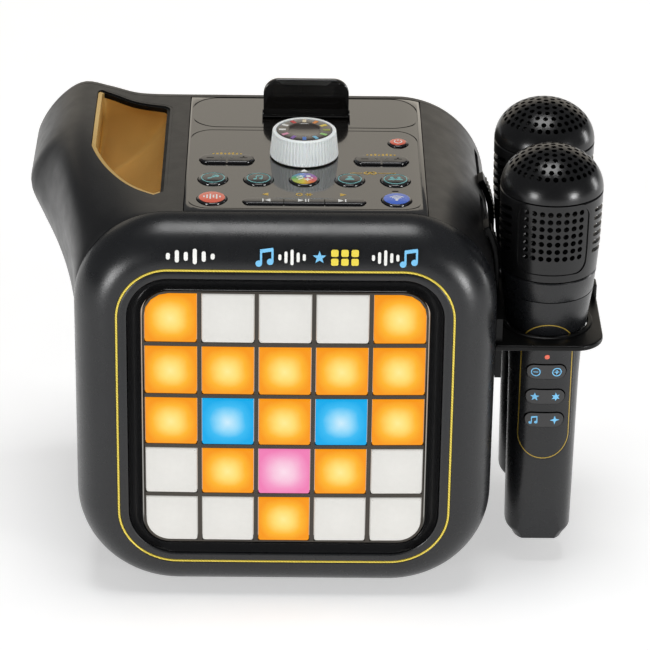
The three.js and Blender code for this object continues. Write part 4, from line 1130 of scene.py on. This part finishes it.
def build_deck_marks():
    gold = [
        [(-12.3, 41.2), (-9.1, 42.9), (-9.1, 39.5)],
        [(30.1, 41.2), (26.9, 39.5), (26.9, 42.9)],
        *hoop(6.4, 41.2, 1.4, 0.7),
        *star_strokes(11.2, 41.2, 1.8),
        bar(32.4, 68.2, 38.6, 68.2, 0.5),
        bar(32.5, 68.2, 32.5, 66.6, 0.5),
        bar(46.2, 68.2, 55.2, 68.2, 0.5),
        bar(55.1, 68.2, 55.1, 66.6, 0.5),
        *hoop(40.7, 68.2, 1.3, 0.8),
        *hoop(44.1, 68.2, 1.3, 0.8),
        bar(40.9, 69.3, 43.9, 69.3, 0.7),
    ]
    for x in ROCKERS.values():
        gold += [
            rounded(1.2, h, 0.5, (x - 7 + 2 * i, 91), 3)
            for i, h in enumerate((1.2, 2, 3, 1.6, 2.6, 3.2, 2, 1.2))
        ]
    decal("deck_gold_marks", gold, on_deck(0, 0), "speaker_box", PRINT_GOLD, "trim_yellow")
    white = [[(PANEL_X - 2.1, 69.2), (PANEL_X + 2.1, 69.2), (PANEL_X, 72.2)]]
    decal("deck_white_mark", white, on_deck(0, 0), "speaker_box", PRINT_WHITE, "knob_white")


def button_solid(x, y, radius):
    under = DECK_UNDER - 0.4
    edge = TOP + BUTTON_PROUD - 0.5
    profile = [
        (0, BOARD_TOP + BUTTON_TRAVEL + 0.5),
        (3, BOARD_TOP + BUTTON_TRAVEL + 0.5),
        (3, under - 1.4),
        (radius + BUTTON_FLANGE, under - 1.4),
        (radius + BUTTON_FLANGE, under),
        (radius, under),
        (radius, edge - 0.6),
        (radius - 0.12, edge - 0.3),
        (radius - 0.45, edge - 0.04),
    ]
    for i in range(1, 7):
        share = 1 - i / 6
        r = (radius - 0.9) * share
        profile.append((r, TOP + BUTTON_PROUD - 0.5 * (r / radius) ** 2))
    return turned(profile, (x, y, 0), 64)


def dome_patch(x, y, radius, reach, lift):
    """A thin domed disc that lies on a button."""
    profile = [(0, TOP + BUTTON_PROUD - 1)]
    profile.append((reach, TOP + BUTTON_PROUD - 1))
    for i in range(9):
        r = reach * (1 - i / 8)
        profile.append((r, TOP + BUTTON_PROUD - 0.5 * (r / radius) ** 2 + lift))
    return turned(profile, (x, y, 0), 64)


def build_buttons():
    tops = {
        "button_lights": (SWIRL, "key_black"),
        "button_effects": (KEY_RED, "key_red"),
        "button_power": (KEY_RED, "key_red"),
        "button_wireless": (KEY_BLUE, "key_blue"),
    }
    icons = {
        "button_voice": [
            disc(1.9, 1.5, 1.3),
            bar(1.2, 0.8, -2.6, -1.7, 1),
            arc(1.9, 1.5, 2, 0.4, 110, 200),
        ],
        "button_music": note(0, 0, 4.2),
        "button_lights": [
            star(-1.6, 1.6, 1.8),
            disc(2.1, 1.9, 1.2),
            bar(-3, -1.9, -0.6, -0.5, 0.9),
            star(1.7, -1.9, 2, 4),
            disc(-3.4, 0.6, 0.6),
            disc(3.9, -0.2, 0.6),
        ],
        "button_one_player": person(0, 0.2, 4.6),
        "button_two_players": person(-1.8, 0.2, 3.8) + person(1.8, 0.2, 3.8),
        "button_effects": [
            bar(-4 + 1.6 * i, -h, -4 + 1.6 * i, h, 0.75) for i, h in enumerate((0.8, 2, 3, 1.6, 2.5, 0.9))
        ],
        "button_wireless": [
            arc(0, -2.4, 1.7 + 1.5 * i, 0.7, 45, 135) for i in range(3)
        ] + [disc(0, -2.4, 0.8)],
        "button_power": [arc(0, -0.3, 1.9, 0.55, 125, 415, 22), bar(0, 0.4, 0, 2.3, 0.55)],
    }
    for name, (x, y) in BUTTONS.items():
        radius = button_radius(name)
        show(button_solid(x, y, radius), f"{name}_cap", name, KEY, "key_black", (name,), 35)
        if name in tops:
            material, slot = tops[name]
            patch = dome_patch(x, y, radius, radius - 0.9, 0.1)
            show(patch, f"{name}_top", name, material, slot, (), 35, (x, y, 0))
            decal(f"{name}_mark", icons[name], on_button(x, y, radius, 0.1), name, PRINT_WHITE, slot)
        else:
            ring = hoop(0, 0, 5.75, 0.5)
            decal(f"{name}_ring", ring + icons[name], on_button(x, y, radius), name, TEAL, "key_black")


def build_bar_keys():
    third = BAR_LENGTH / 3
    under = DECK_UNDER - 0.4
    left = [(1.8, 1.6), (1.8, -1.6), (-0.9, 0)]
    right = [(-1.8, -1.6), (-1.8, 1.6), (0.9, 0)]
    icons = {
        "key_back": [left, bar(-1.9, -1.6, -1.9, 1.6, 0.6)],
        "key_play": [
            [(u - 1.3, v) for u, v in right], bar(0.7, -1.6, 0.7, 1.6, 0.6), bar(2.1, -1.6, 2.1, 1.6, 0.6)
        ],
        "key_next": [right, bar(1.9, -1.6, 1.9, 1.6, 0.6)],
    }
    for position, (name, marks) in zip((-1, 0, 1), icons.items()):
        top = prism(
            rounded(BAR_LENGTH, BAR_WIDTH, 9, (PANEL_X, BAR_Y), 14), under, TOP + BAR_PROUD, (0, 0.5), steps=4
        )
        middle = PANEL_X + position * third
        reach = third / 2 + (6 if position else 0)
        start = middle - reach if position == -1 else middle - third / 2 + BAR_GAP / 2
        end = middle + reach if position == 1 else middle + third / 2 - BAR_GAP / 2
        ends = prism(
            rounded(BAR_LENGTH + 4, BAR_WIDTH + 4, 9, (PANEL_X, BAR_Y), 12), under - 1.4, under + 0.01
        )
        cell = box((start, BAR_Y - 20, under - 3), (end, BAR_Y + 20, TOP + 10))
        join(top, ends)
        common(top, cell)
        join(top, rod("z", (middle, BAR_Y), 2.5, BOARD_TOP + BUTTON_TRAVEL + 0.5, under - 1))
        show(top, f"{name}_cap", name, KEY, "key_black", (name,), 30)
        decal(
            f"{name}_mark",
            marks,
            on_flat(PANEL_X + position * 18.7, BAR_Y, TOP + BAR_PROUD),
            name,
            PRINT_WHITE,
            "knob_white",
        )


def build_rockers():
    pivot = DECK_UNDER - 1.9
    for name, x in ROCKERS.items():
        key = prism(
            rounded(ROCKER_LENGTH, ROCKER_WIDTH, 9, (x, ROW_C), 16),
            pivot,
            TOP + ROCKER_PROUD,
            (0, 0.8),
            steps=5,
        )
        face = TOP + ROCKER_PROUD
        marks = [
            (x - 10.4, ROW_C - 0.35, x - 6.6, ROW_C + 0.35), (x + 6.6, ROW_C - 0.35, x + 10.4, ROW_C + 0.35)
        ]
        marks.append((x + 8.15, ROW_C - 1.9, x + 8.85, ROW_C + 1.9))
        grooves = [box((a, b, face - 0.35), (c, d, face + 2)) for a, b, c, d in marks]
        grooves.append(box((x - 0.5, ROW_C - 10, face - 0.8), (x + 0.5, ROW_C + 10, face + 7)))
        cut(key, *grooves)
        join(key, rod("y", (x, pivot), 1.4, ROW_C - 8, ROW_C + 8, 32))
        show(key, f"{name}_cap", name, KEY, "key_black", (name,), 30)
        chevrons = [
            [(-1.6, 0), (-2.8, 1.4), (-3.5, 1.4), (-2.3, 0), (-3.5, -1.4), (-2.8, -1.4)],
            [(1.6, 0), (2.8, -1.4), (3.5, -1.4), (2.3, 0), (3.5, 1.4), (2.8, 1.4)],
        ]
        decal(f"{name}_mark", chevrons, on_flat(x, ROW_C, face), name, PRINT_GREY, "key_black", 0.05)


def build_knob():
    base = TOP + KNOB_LIFT
    top = base + KNOB_HEIGHT
    rows = [(KNOB_BOTTOM - 2, base, 0), (KNOB_BOTTOM - 0.3, base, 0), (KNOB_BOTTOM, base + 0.4, 0.2)]
    for i in range(9):
        share = i / 8
        rows.append((lerp(KNOB_BOTTOM, KNOB_TOP, share), lerp(base + 1, top - 1.5, share), 1))
    rows += [(KNOB_TOP, top - 0.9, 0.3), (KNOB_TOP - 0.15, top - 0.4, 0), (KNOB_TOP - 0.6, top, 0)]
    rows += [(KNOB_TOP - 1.9, top, 0), (KNOB_TOP - 2, top - 0.2, 0), (KNOB_TOP - 2, top - 3, 0)]
    rows += [(SHAFT + GAP, top - 3, 0), (SHAFT + GAP, base + 2, 0), (SHAFT + 3, base + 2, 0)]
    rows += [(SHAFT + 3, top - 5, 0), (KNOB_BOTTOM - 3, top - 5, 0)]
    slices = []
    flutes, samples = 60, 8
    for k in range(flutes * samples):
        a = 2 * math.pi * k / (flutes * samples)
        dip = 0.9 * (0.5 - 0.5 * math.cos(flutes * a)) ** 1.6
        ring = []
        for radius, z, share in rows:
            r = radius - dip * share
            ring.append((PANEL_X + r * math.cos(a), KNOB_Y + r * math.sin(a), z))
        slices.append(ring)
    show(skin(slices, ring=True), "knob_fluted_skirt", "knob", WHITE, "knob_white", ("knob_skirt",), 50)
    rim = KNOB_TOP - 2.3
    profile = [
        (0, top - 2.6), (rim, top - 2.6), (rim, top - 0.7), (rim - 0.25, top - 0.35), (rim - 0.8, top - 0.2)
    ]
    profile += [
        (8.9, top), (8.5, top - 0.08), (8.1, top - 0.4), (7.8, top - 0.8), (7.3, top - 1), (0, top - 1.1)
    ]
    cap = turned(profile, (PANEL_X, KNOB_Y, 0), 96)
    cap_look = plastic(
        "knob_cap_dark", srgb(58, 50, 44), 0.22, 0.05, 500, Coat_Weight=0.6, Coat_Roughness=0.1
    )
    show(cap, "knob_face", "knob", cap_look, "key_black", ("knob_cap",), 30)
    ticks = [(200, 60, 60), (230, 214, 180), (226, 140, 60), (230, 204, 80), (150, 160, 70), (150, 205, 120)]
    ticks += [
        (120, 190, 220), (70, 120, 200), (130, 90, 170), (224, 150, 180), (232, 232, 228), (232, 232, 228)
    ]
    for i, colour in enumerate(ticks):
        a = math.radians(120 - 30 * i)
        c, s = math.cos(a), math.sin(a)
        look = plastic(f"tick_{i + 1}", srgb(*colour), 0.4, 0.1, 1500, 0.04)
        shape = [bar(9.5 * c, 9.5 * s, 13.1 * c, 13.1 * s, 1.9)]
        decal(
            f"knob_tick_{i + 1}", shape, on_flat(PANEL_X, KNOB_Y, top - 0.1), "knob", look, "knob_white", 0.1
        )


def build_flap():
    w, r = FLAP_WIDTH / 2, FLAP_CORNER
    pivot = TOP - 2
    points = [(FLAP_X - w, pivot), (FLAP_X + w, pivot)]
    for cx, start in ((FLAP_X + w - r, 0), (FLAP_X - w + r, 90)):
        for i in range(13):
            a = math.radians(start + 90 * i / 12)
            points.append((cx + r * math.cos(a), pivot + FLAP_HEIGHT + 2 - r + r * math.sin(a)))
    half = FLAP_THICK / 2
    plate = prism(points, FLAP_Y - half, FLAP_Y + half, (0.7, 0.7), "y", 4)
    recess = prism(
        rounded(36, 10, 3.5, (FLAP_X, pivot + 12), 8), FLAP_Y - half - 1, FLAP_Y - half + 0.35, axis="y"
    )
    cut(plate, recess)
    join(plate, rod("x", (FLAP_Y, pivot), 1.3, FLAP_X - w, FLAP_X + w, 32))
    join(plate, rod("x", (FLAP_Y, pivot), 0.9, FLAP_X - w - 2.2, FLAP_X + w + 2.2, 24))
    show(plate, "phone_rest_plate", "phone_flap", GLOSS, "gloss_black", ("phone_flap",), 30)


# ---------------------------------------------------------------- marks on the bezel


def build_front_marks():
    heights = (3.4, 6.4, 4.6, 8, 5.4, 3)
    sound = [rounded(2, h, 1, (-11 + 4.4 * i, 0), 4) for i, h in enumerate(heights)]
    decal("bezel_sound_mark", sound, on_front(-47, 194.5), "speaker_box", PRINT_WHITE, "knob_white", 0.1)
    at = on_front(27, 194.5)
    blue = note(-37, 0, 8) + [star(-10.5, 0, 3.4)] + note(34, 0, 8)
    decal("bezel_blue_marks", blue, at, "speaker_box", PRINT_BLUE, "key_blue", 0.1)
    white = [rounded(1.5, h, 0.7, (-30 + 3 * i, 0), 3) for i, h in enumerate((3, 6, 8, 5, 3.4))]
    white += [rounded(1.5, h, 0.7, (16 + 3 * i, 0), 3) for i, h in enumerate((3, 6, 8, 5, 3.4))]
    decal("bezel_white_marks", white, at, "speaker_box", PRINT_WHITE, "knob_white", 0.1)
    yellow = [rounded(3.6, 3.6, 0.8, (-3 + 5 * i, 2.3 - 4.6 * j), 3) for i in range(3) for j in range(2)]
    decal("bezel_yellow_marks", yellow, at, "speaker_box", PRINT_YELLOW, "trim_yellow", 0.1)


# ---------------------------------------------------------------- holder


def build_holder():
    r, steps = 15, 12
    points = [(HOLD_LEFT, HOLD_FRONT)]
    for cy, start in ((HOLD_FRONT + r, -90), (HOLD_BACK - r, 0)):
        for i in range(steps + 1):
            a = math.radians(start + 90 * i / steps)
            points.append((HOLD_RIGHT - r + r * math.cos(a), cy + r * math.sin(a)))
    points.append((HOLD_LEFT, HOLD_BACK))
    plate = prism(points, HOLD_TOP - 3, HOLD_TOP, (0.9, 0.9), steps=4)
    parts = [
        box((HOLD_LEFT, HOLD_FRONT + 4, HOLD_TOP - 20), (HOLD_LEFT + 3.2, HOLD_BACK - 4, HOLD_TOP + 13)),
        box((HOLD_LEFT, 72, HOLD_TOP + 10), (HOLD_LEFT + 2.4, 86, HOLD_TOP + 28)),
        prism(rounded(3, 9, 1.2, (HOLD_RIGHT - 1.5, 78.5), 5), HOLD_TOP - 1, HOLD_TOP + 7, (0, 0.8)),
        box((HOLD_LEFT, 76.5, HOLD_TOP - 18), (HOLD_LEFT + 20, 80.5, HOLD_TOP - 1)),
    ]
    cx, cz = HALF_WIDTH - TOP_RADIUS, TOP - TOP_RADIUS
    inner, outer, end = TOP_RADIUS + 0.4, TOP_RADIUS + 3.4, 29
    for front in ARM_FRONTS:
        shape = [(cx + inner, HOLD_TOP - 3), (cx + outer, HOLD_TOP - 3)]
        for i in range(15):
            a = math.radians(end * i / 14)
            shape.append((cx + outer * math.cos(a), cz + outer * math.sin(a)))
        for i in range(14, -1, -1):
            a = math.radians(end * i / 14)
            shape.append((cx + inner * math.cos(a), cz + inner * math.sin(a)))
        parts.append(prism(shape, front, front + ARM_WIDTH, (0.5, 0.5), "y"))
        parts.append(lug_block(front, front + ARM_WIDTH, 0, 4.6))
        for i in range(9):
            a = math.radians(3 + i * 2.7)
            x, z = cx + outer * math.cos(a), cz + outer * math.sin(a)
            parts.append(rod("y", (x, z), 0.55, front + 1, front + ARM_WIDTH - 1, 12))
    for part in parts:
        join(plate, part)
    seats = []
    for y in MIC_ROWS:
        rim = [
            (SEAT_RADIUS + 2.6, HOLD_TOP - 1),
            (SEAT_RADIUS + 2.6, HOLD_TOP + 0.5),
            (SEAT_RADIUS + 2.1, HOLD_TOP + 0.9),
        ]
        rim += [(SEAT_RADIUS - 1, HOLD_TOP + 0.9), (SEAT_RADIUS - 1, HOLD_TOP - 1)]
        join(plate, turned(rim, (MIC_X, y, 0), 80))
        well = [
            (0, HOLD_TOP - 40),
            (SEAT_RADIUS, HOLD_TOP - 40),
            (SEAT_RADIUS, HOLD_TOP + 0.3),
            (SEAT_RADIUS + 0.6, HOLD_TOP + 1),
        ]
        well += [(SEAT_RADIUS + 0.6, HOLD_TOP + 3), (0, HOLD_TOP + 3)]
        seats.append(turned(well, (MIC_X, y, 0), 80))
    cut(plate, *seats)
    show(plate, "holder_bracket", "mic_holder", HOLDER_BLACK, "shell_satin", ("mic_holder",), 30)


# ---------------------------------------------------------------- microphones


def handle_radius(z):
    """Radius of the handle at a height, with its changes of slope softened above the foot."""
    if z < 26:
        return float(np.interp(z, HANDLE_HEIGHTS, HANDLE_RADII))
    window = np.linspace(-4, 4, 9) if z < 153 else np.linspace(z - 157, 157 - z, 9)
    return float(np.mean(np.interp(z + window, HANDLE_HEIGHTS, HANDLE_RADII)))


def handle_power(z):
    return lerp(2.6, 2, smoothstep(112, 137, z))


def handle_body(y, margin, heights, count=112):
    slices = []
    for z in heights:
        radius, power = handle_radius(z) - margin, handle_power(z)
        waist = lerp(FOOT_WAIST, 1, smoothstep(MIC_BOTTOM, MIC_BOTTOM + 5.5, z))
        ring = []
        for k in range(count):
            a = 2 * math.pi * (k + 0.5) / count
            c, s = math.cos(a), math.sin(a)
            reach = radius / (abs(c) ** power + abs(s) ** power) ** (1 / power)
            ring.append((MIC_X + reach * c * waist, y + reach * s, z))
        slices.append(ring)
    made = skin(slices)
    a = math.radians(TILT)
    y1, z1 = y - handle_radius(FLAT_TOP) + margin, FLAT_TOP
    flat = []
    for v, w in ((-20, -60), (0, -60), (0, 60), (-20, 60)):
        flat.append((y1 + v * math.cos(a) - w * math.sin(a), z1 + v * math.sin(a) + w * math.cos(a)))
    cut(made, skin([[(x, v, w) for v, w in flat] for x in (MIC_X - 30, MIC_X + 30)]))
    return made


def on_handle(y, z, proud=0.0):
    """Places marks on the front of a handle, u across and v up."""

    def place(u, v, h):
        radius, power = handle_radius(z + v) + proud + h, handle_power(z + v)
        share = min(0.98, abs(u / radius))
        return (MIC_X + u, y - radius * (1 - share**power) ** (1 / power), z + v)

    return place


def surface_ribbon(points, width, place, lift=0.1, depth=0.25):
    """A thin raised line along a closed outline that follows a surface."""
    inner, outer = inset(points, width / 2), inset(points, -width / 2)
    slices = []
    for (ui, vi), (uo, vo) in zip(inner, outer):
        slices.append(
            [place(ui, vi, -depth), place(uo, vo, -depth), place(uo, vo, lift), place(ui, vi, lift)]
        )
    return skin(slices, ring=True)


def dense(points, step):
    """A closed outline with extra points, so that no side is longer than a step."""
    p = np.array(points, float)
    made = []
    for a, b in zip(p, np.roll(p, -1, 0)):
        count = max(1, int(np.linalg.norm(b - a) / step))
        made += [tuple(lerp(a, b, i / count)) for i in range(count)]
    return made


def build_handle(y, mic):
    low = [MIC_BOTTOM, 15.9, 16.6, 18, 19.5, 20.4, 21, 22, 24]
    heights = low + [float(z) for z in np.arange(26, 157, 2)] + [HANDLE_TOP]
    shell = handle_body(y, 0, heights)
    inner_heights = [17.5, 21, 24] + [float(z) for z in np.arange(30, 157, 6)] + [HANDLE_TOP + 0.01]
    cut(shell, handle_body(y, 2, inner_heights, 64))
    rear = shell.copy()
    rear.data = shell.data.copy()
    bpy.context.scene.collection.objects.link(rear)
    common(shell, box((0, y - 40, 0), (300, y - GAP / 2, 300)))
    common(rear, box((0, y + GAP / 2, 0), (300, y + 40, 300)))
    holes = []
    for z in MIC_KEY_LEVELS:
        shape = rounded(MIC_KEY_LENGTH + 2 * RUN, MIC_KEY_WIDTH + 2 * RUN, 9, (MIC_X, z), 12)
        holes.append(prism(shape, y - 40, y - 6, axis="y"))
    cut(shell, *holes)
    show(shell, f"{mic}_front_shell", mic, MIC_SATIN, "mic_black", (f"{mic}_handle_front",), 30)
    show(rear, f"{mic}_rear_shell", mic, MIC_SATIN, "mic_black", (f"{mic}_handle_rear",), 30)
    stadium = dense(rounded(26, 78.6, 13, (0, 0), 16), 2)
    line = surface_ribbon(stadium, 0.5, on_handle(y, 104.7))
    show(line, f"{mic}_stadium_line", mic, MIC_LINE, "trim_yellow", (), 50)
    lamp = decal(f"{mic}_lamp", [disc(0, 0, 1.3)], on_handle(y, 124.7), mic, KEY_RED, "key_red", 0.25)
    ridge = dense(rounded(28.4, 81, 14.2, (0, 0), 16), 2)
    show(
        surface_ribbon(ridge, 0.5, on_handle(y, 104.7), 0.08),
        f"{mic}_stadium_edge",
        mic,
        MIC_SATIN,
        "mic_black",
        (),
        50,
    )
    return lamp


def build_mic_keys(y, mic):
    icons = (
        hoop(-5.4, 0, 2.2, 0.5) + [bar(-6.6, 0, -4.2, 0, 0.5)]
        + hoop(5.4, 0, 2.2, 0.5) + [bar(4.2, 0, 6.6, 0, 0.5), bar(5.4, -1.2, 5.4, 1.2, 0.5)],
        [star(-5.4, 0, 2.5), star(5.4, 0, 2.3, 6, 0.5)],
        note(-5.4, 0, 4) + [star(5.4, 0, 2.5, 4, 0.35)],
    )
    for name, z, marks in zip(("volume", "effect_upper", "effect_lower"), MIC_KEY_LEVELS, icons):
        face = y - handle_radius(z)
        pill = prism(rounded(MIC_KEY_LENGTH, MIC_KEY_WIDTH, 9, (MIC_X, z), 14), face - 2, face + 7, axis="y")
        heights = [float(h) for h in np.linspace(z - 6, z + 6, 13)]
        common(pill, handle_body(y, -MIC_KEY_PROUD, heights, 144))
        backing = rounded(MIC_KEY_LENGTH + 2, MIC_KEY_WIDTH + 3, 9, (MIC_X, z), 10)
        join(pill, prism(backing, face + 6.6, face + 8.4, axis="y"))
        node = f"{mic}_key_{name}"
        show(pill, f"{node}_cap", node, KEY, "key_black", (node,), 30, bevel=0.45)
        decal(f"{node}_marks", marks, on_handle(y, z, MIC_KEY_PROUD), node, PRINT_BLUE, "key_blue", 0.08)


def band_radius(z):
    return float(
        np.interp(z, (NECK_TOP + GAP, NECK_TOP + 17, BAND_TOP), (24.4, HEAD_RADIUS - 0.4, HEAD_RADIUS))
    )


def build_head(y, mic):
    low = HANDLE_TOP + GAP
    collar = [(20.8, low), (23.1, low), (23.3, low + 0.3), (24.2, NECK_TOP - 1.4), (24.4, NECK_TOP - 0.6)]
    collar += [(24.1, NECK_TOP), (21.8, NECK_TOP)]
    show(
        turned(collar, (MIC_X, y, 0), 96),
        f"{mic}_collar",
        mic,
        MIC_SATIN,
        "mic_black",
        (f"{mic}_neck_collar",),
        40,
    )

    start = NECK_TOP + GAP
    levels = [start, start + 0.5, *np.linspace(start + 3, BAND_TOP - 1.2, 14), BAND_TOP - 0.5, BAND_TOP]
    outer = [(band_radius(z) - (0.5 if z in (start, BAND_TOP) else 0), z) for z in levels]
    inner = [(band_radius(z) - 2, z) for z in reversed(levels)]
    band = turned(outer + inner, (MIC_X, y, 0), 112)

    def on_band(u, v, h):
        radius = band_radius(v) + h
        a = u / HEAD_RADIUS
        return (MIC_X + radius * math.sin(a), y - radius * math.cos(a), v)

    frame_line = dense(rounded(40, 38.5, 7, (0, 191.8), 10), 2)
    join(band, surface_ribbon(frame_line, 1.5, on_band, 0.55, 0.6))
    cutters = []
    for row in range(7):
        for column in range(8):
            a = (column - 3.5) * 4.15 / HEAD_RADIUS
            cutters.append(radial_rod(y, a, 182.6 + row * 4.1, 1.45))
    for side in (0, 1):
        for i in range(6):
            a = (1 - 2 * side) * math.radians(84)
            cutters.append(slanted_slot(y, a, 181 + i * 4.5, 1 - 2 * side))
    cut(band, merge(cutters))
    show(band, f"{mic}_band", mic, MIC_HEAD, "mic_black", (f"{mic}_head_band",), 35)

    base, height = BAND_TOP + GAP, MIC_TOP - BAND_TOP - GAP
    profile = [(HEAD_RADIUS - 0.5, base)]
    for i in range(25):
        a = math.pi / 2 * (i + 0.4) / 24.4
        profile.append((HEAD_RADIUS * math.cos(a) if i < 24 else 0, base + height * math.sin(a)))
    for i in range(20, -1, -1):
        a = math.pi / 2 * i / 20
        profile.append(((HEAD_RADIUS - 2) * math.cos(a) if i < 20 else 0, base + (height - 2) * math.sin(a)))
    dome = turned(profile, (MIC_X, y, 0), 112)
    pins = []
    for ring, polar in enumerate((0, 9, 18, 27, 36, 45, 54)):
        around = 1 if polar == 0 else int(
            round(2 * math.pi * HEAD_RADIUS * math.sin(math.radians(polar)) / 4.1)
        )
        for k in range(around):
            pins.append(
                dome_rod(y, math.radians(polar), 2 * math.pi * (k + 0.5 * (ring % 2)) / around, base, height)
            )
    cut(dome, merge(pins))
    show(dome, f"{mic}_dome", mic, MIC_HEAD, "mic_black", (f"{mic}_dome_grille",), 35)


def aimed_prism(start, direction, flat, length):
    """A prism with a flat outline, extruded from a point along a direction."""
    along = Vector(direction).normalized()
    side = along.cross(Vector((0, 0, 1)))
    side = side.normalized() if side.length > 1e-6 else Vector((1, 0, 0))
    up = side.cross(along).normalized()
    slices = []
    for reach in (0, length):
        slices.append([tuple(Vector(start) + along * reach + side * u + up * v) for u, v in flat])
    return skin(slices)


def radial_rod(y, angle, z, radius):
    direction = (math.sin(angle), -math.cos(angle), 0)
    start = (MIC_X + 20 * direction[0], y + 20 * direction[1], z)
    return aimed_prism(start, direction, disc(0, 0, radius, 12), 10)


def slanted_slot(y, angle, z, lean):
    direction = (math.sin(angle), -math.cos(angle), 0)
    start = (MIC_X + 20 * direction[0], y + 20 * direction[1], z)
    c, s = math.cos(0.16 * lean), math.sin(0.16 * lean)
    flat = [(u * c - v * s, u * s + v * c) for u, v in rounded(27, 2.3, 1.1, (0, 0), 5)]
    return aimed_prism(start, direction, flat, 10)


def dome_rod(y, polar, around, base, height):
    """A cutter square to the dome's surface."""
    c, s = math.cos(around), math.sin(around)
    out, up = math.sin(polar), math.cos(polar)
    surface = Vector((MIC_X + HEAD_RADIUS * out * c, y + HEAD_RADIUS * out * s, base + height * up))
    direction = Vector((out * c / HEAD_RADIUS, out * s / HEAD_RADIUS, up / height)).normalized()
    return aimed_prism(surface - direction * 4, direction, disc(0, 0, 1.35, 12), 8)


# ---------------------------------------------------------------- the whole object

build_housing()
build_liner()
build_rear()
build_underside()
build_front()
build_tiles()
build_front_marks()
build_deck()
build_deck_marks()
build_buttons()
build_bar_keys()
build_rockers()
build_knob()
build_flap()
build_holder()
for mic_name, mic_y in zip(("mic_a", "mic_b"), MIC_ROWS):
    build_handle(mic_y, mic_name)
    build_mic_keys(mic_y, mic_name)
    build_head(mic_y, mic_name)

# CAD nodes that keep their own mesh
CARRIED = {
    "grid_frame": GRID,
    "led_board": BOARD,
    "encoder_shaft": METAL,
    "encoder_body": METAL,
    "button_board": BOARD,
    "speaker_frame": METAL,
    "speaker_cone": PAPER,
    "main_board": BOARD,
    "battery_pack": WRAP,
}
for mic_name in ("mic_a", "mic_b"):
    CARRIED[f"{mic_name}_capsule"] = CAPSULE
    CARRIED[f"{mic_name}_battery"] = WRAP
for node_name, look in CARRIED.items():
    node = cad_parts[node_name]
    node.data.materials.clear()
    node.data.materials.append(look)

# ---------------------------------------------------------------- floor, lights and camera


FLOOR_GLOW = {"Emission_Color": srgb(255, 255, 255), "Emission_Strength": 0.42}


def build_floor():
    mesh = bpy.data.meshes.new("floor")
    mesh.from_pydata([(-6, -6, 0), (6, -6, 0), (6, 6, 0), (-6, 6, 0)], [], [(0, 1, 2, 3)])
    floor = bpy.data.objects.new("floor", mesh)
    bpy.context.scene.collection.objects.link(floor)
    mesh.materials.append(plastic("floor_pale", srgb(242, 242, 242), 0.8, 0.05, 40, 0.01, **FLOOR_GLOW))


def soft_light(name, place, target, size, power, colour=(1, 1, 1)):
    data = bpy.data.lights.new(name, "AREA")
    data.shape = "RECTANGLE"
    data.size, data.size_y = size
    data.energy = power
    data.color = colour
    lamp = bpy.data.objects.new(name, data)
    bpy.context.scene.collection.objects.link(lamp)
    lamp.location = place
    lamp.rotation_euler = (Vector(target) - Vector(place)).to_track_quat("-Z", "Y").to_euler()
    lamp.visible_camera = False


def build_studio():
    world = bpy.data.worlds.new("studio")
    world.use_nodes = True
    world.node_tree.nodes["Background"].inputs["Color"].default_value = (0.95, 0.97, 1.0, 1)
    world.node_tree.nodes["Background"].inputs["Strength"].default_value = 0.18
    bpy.context.scene.world = world
    soft_light("back_panel", (0.0, 1.5, 0.62), (0, 0, 0.2), (2.4, 0.9), 4.2, (1.0, 0.9, 0.74))
    soft_light("left_box", (-1.5, -1.8, 0.4), (0, 0, 0.12), (0.6, 0.6), 17)
    soft_light("right_box", (1.6, -1.5, 0.4), (0, 0, 0.12), (0.5, 0.5), 16)
    soft_light("right_rim", (2.1, 0.7, 0.3), (0, 0, 0.12), (0.3, 0.8), 7)
    soft_light("overhead", (0.0, -0.1, 2.2), (0, 0, 0), (1.0, 1.0), 20)
    data = bpy.data.cameras.new("camera")
    data.lens, data.sensor_width = 189.9, 36
    data.clip_end = 60
    camera = bpy.data.objects.new("camera", data)
    bpy.context.scene.collection.objects.link(camera)
    camera.matrix_world = Matrix(
        (
            (0.99990, -0.008482, -0.011973, -0.014734),
            (-0.006916, 0.447237, -0.894390, -1.606800),
            (0.012941, 0.894376, 0.447130, 0.918300),
            (0, 0, 0, 1),
        )
    )
    bpy.context.scene.camera = camera
    bpy.context.scene.view_settings.view_transform = "Standard"


build_floor()
build_studio()
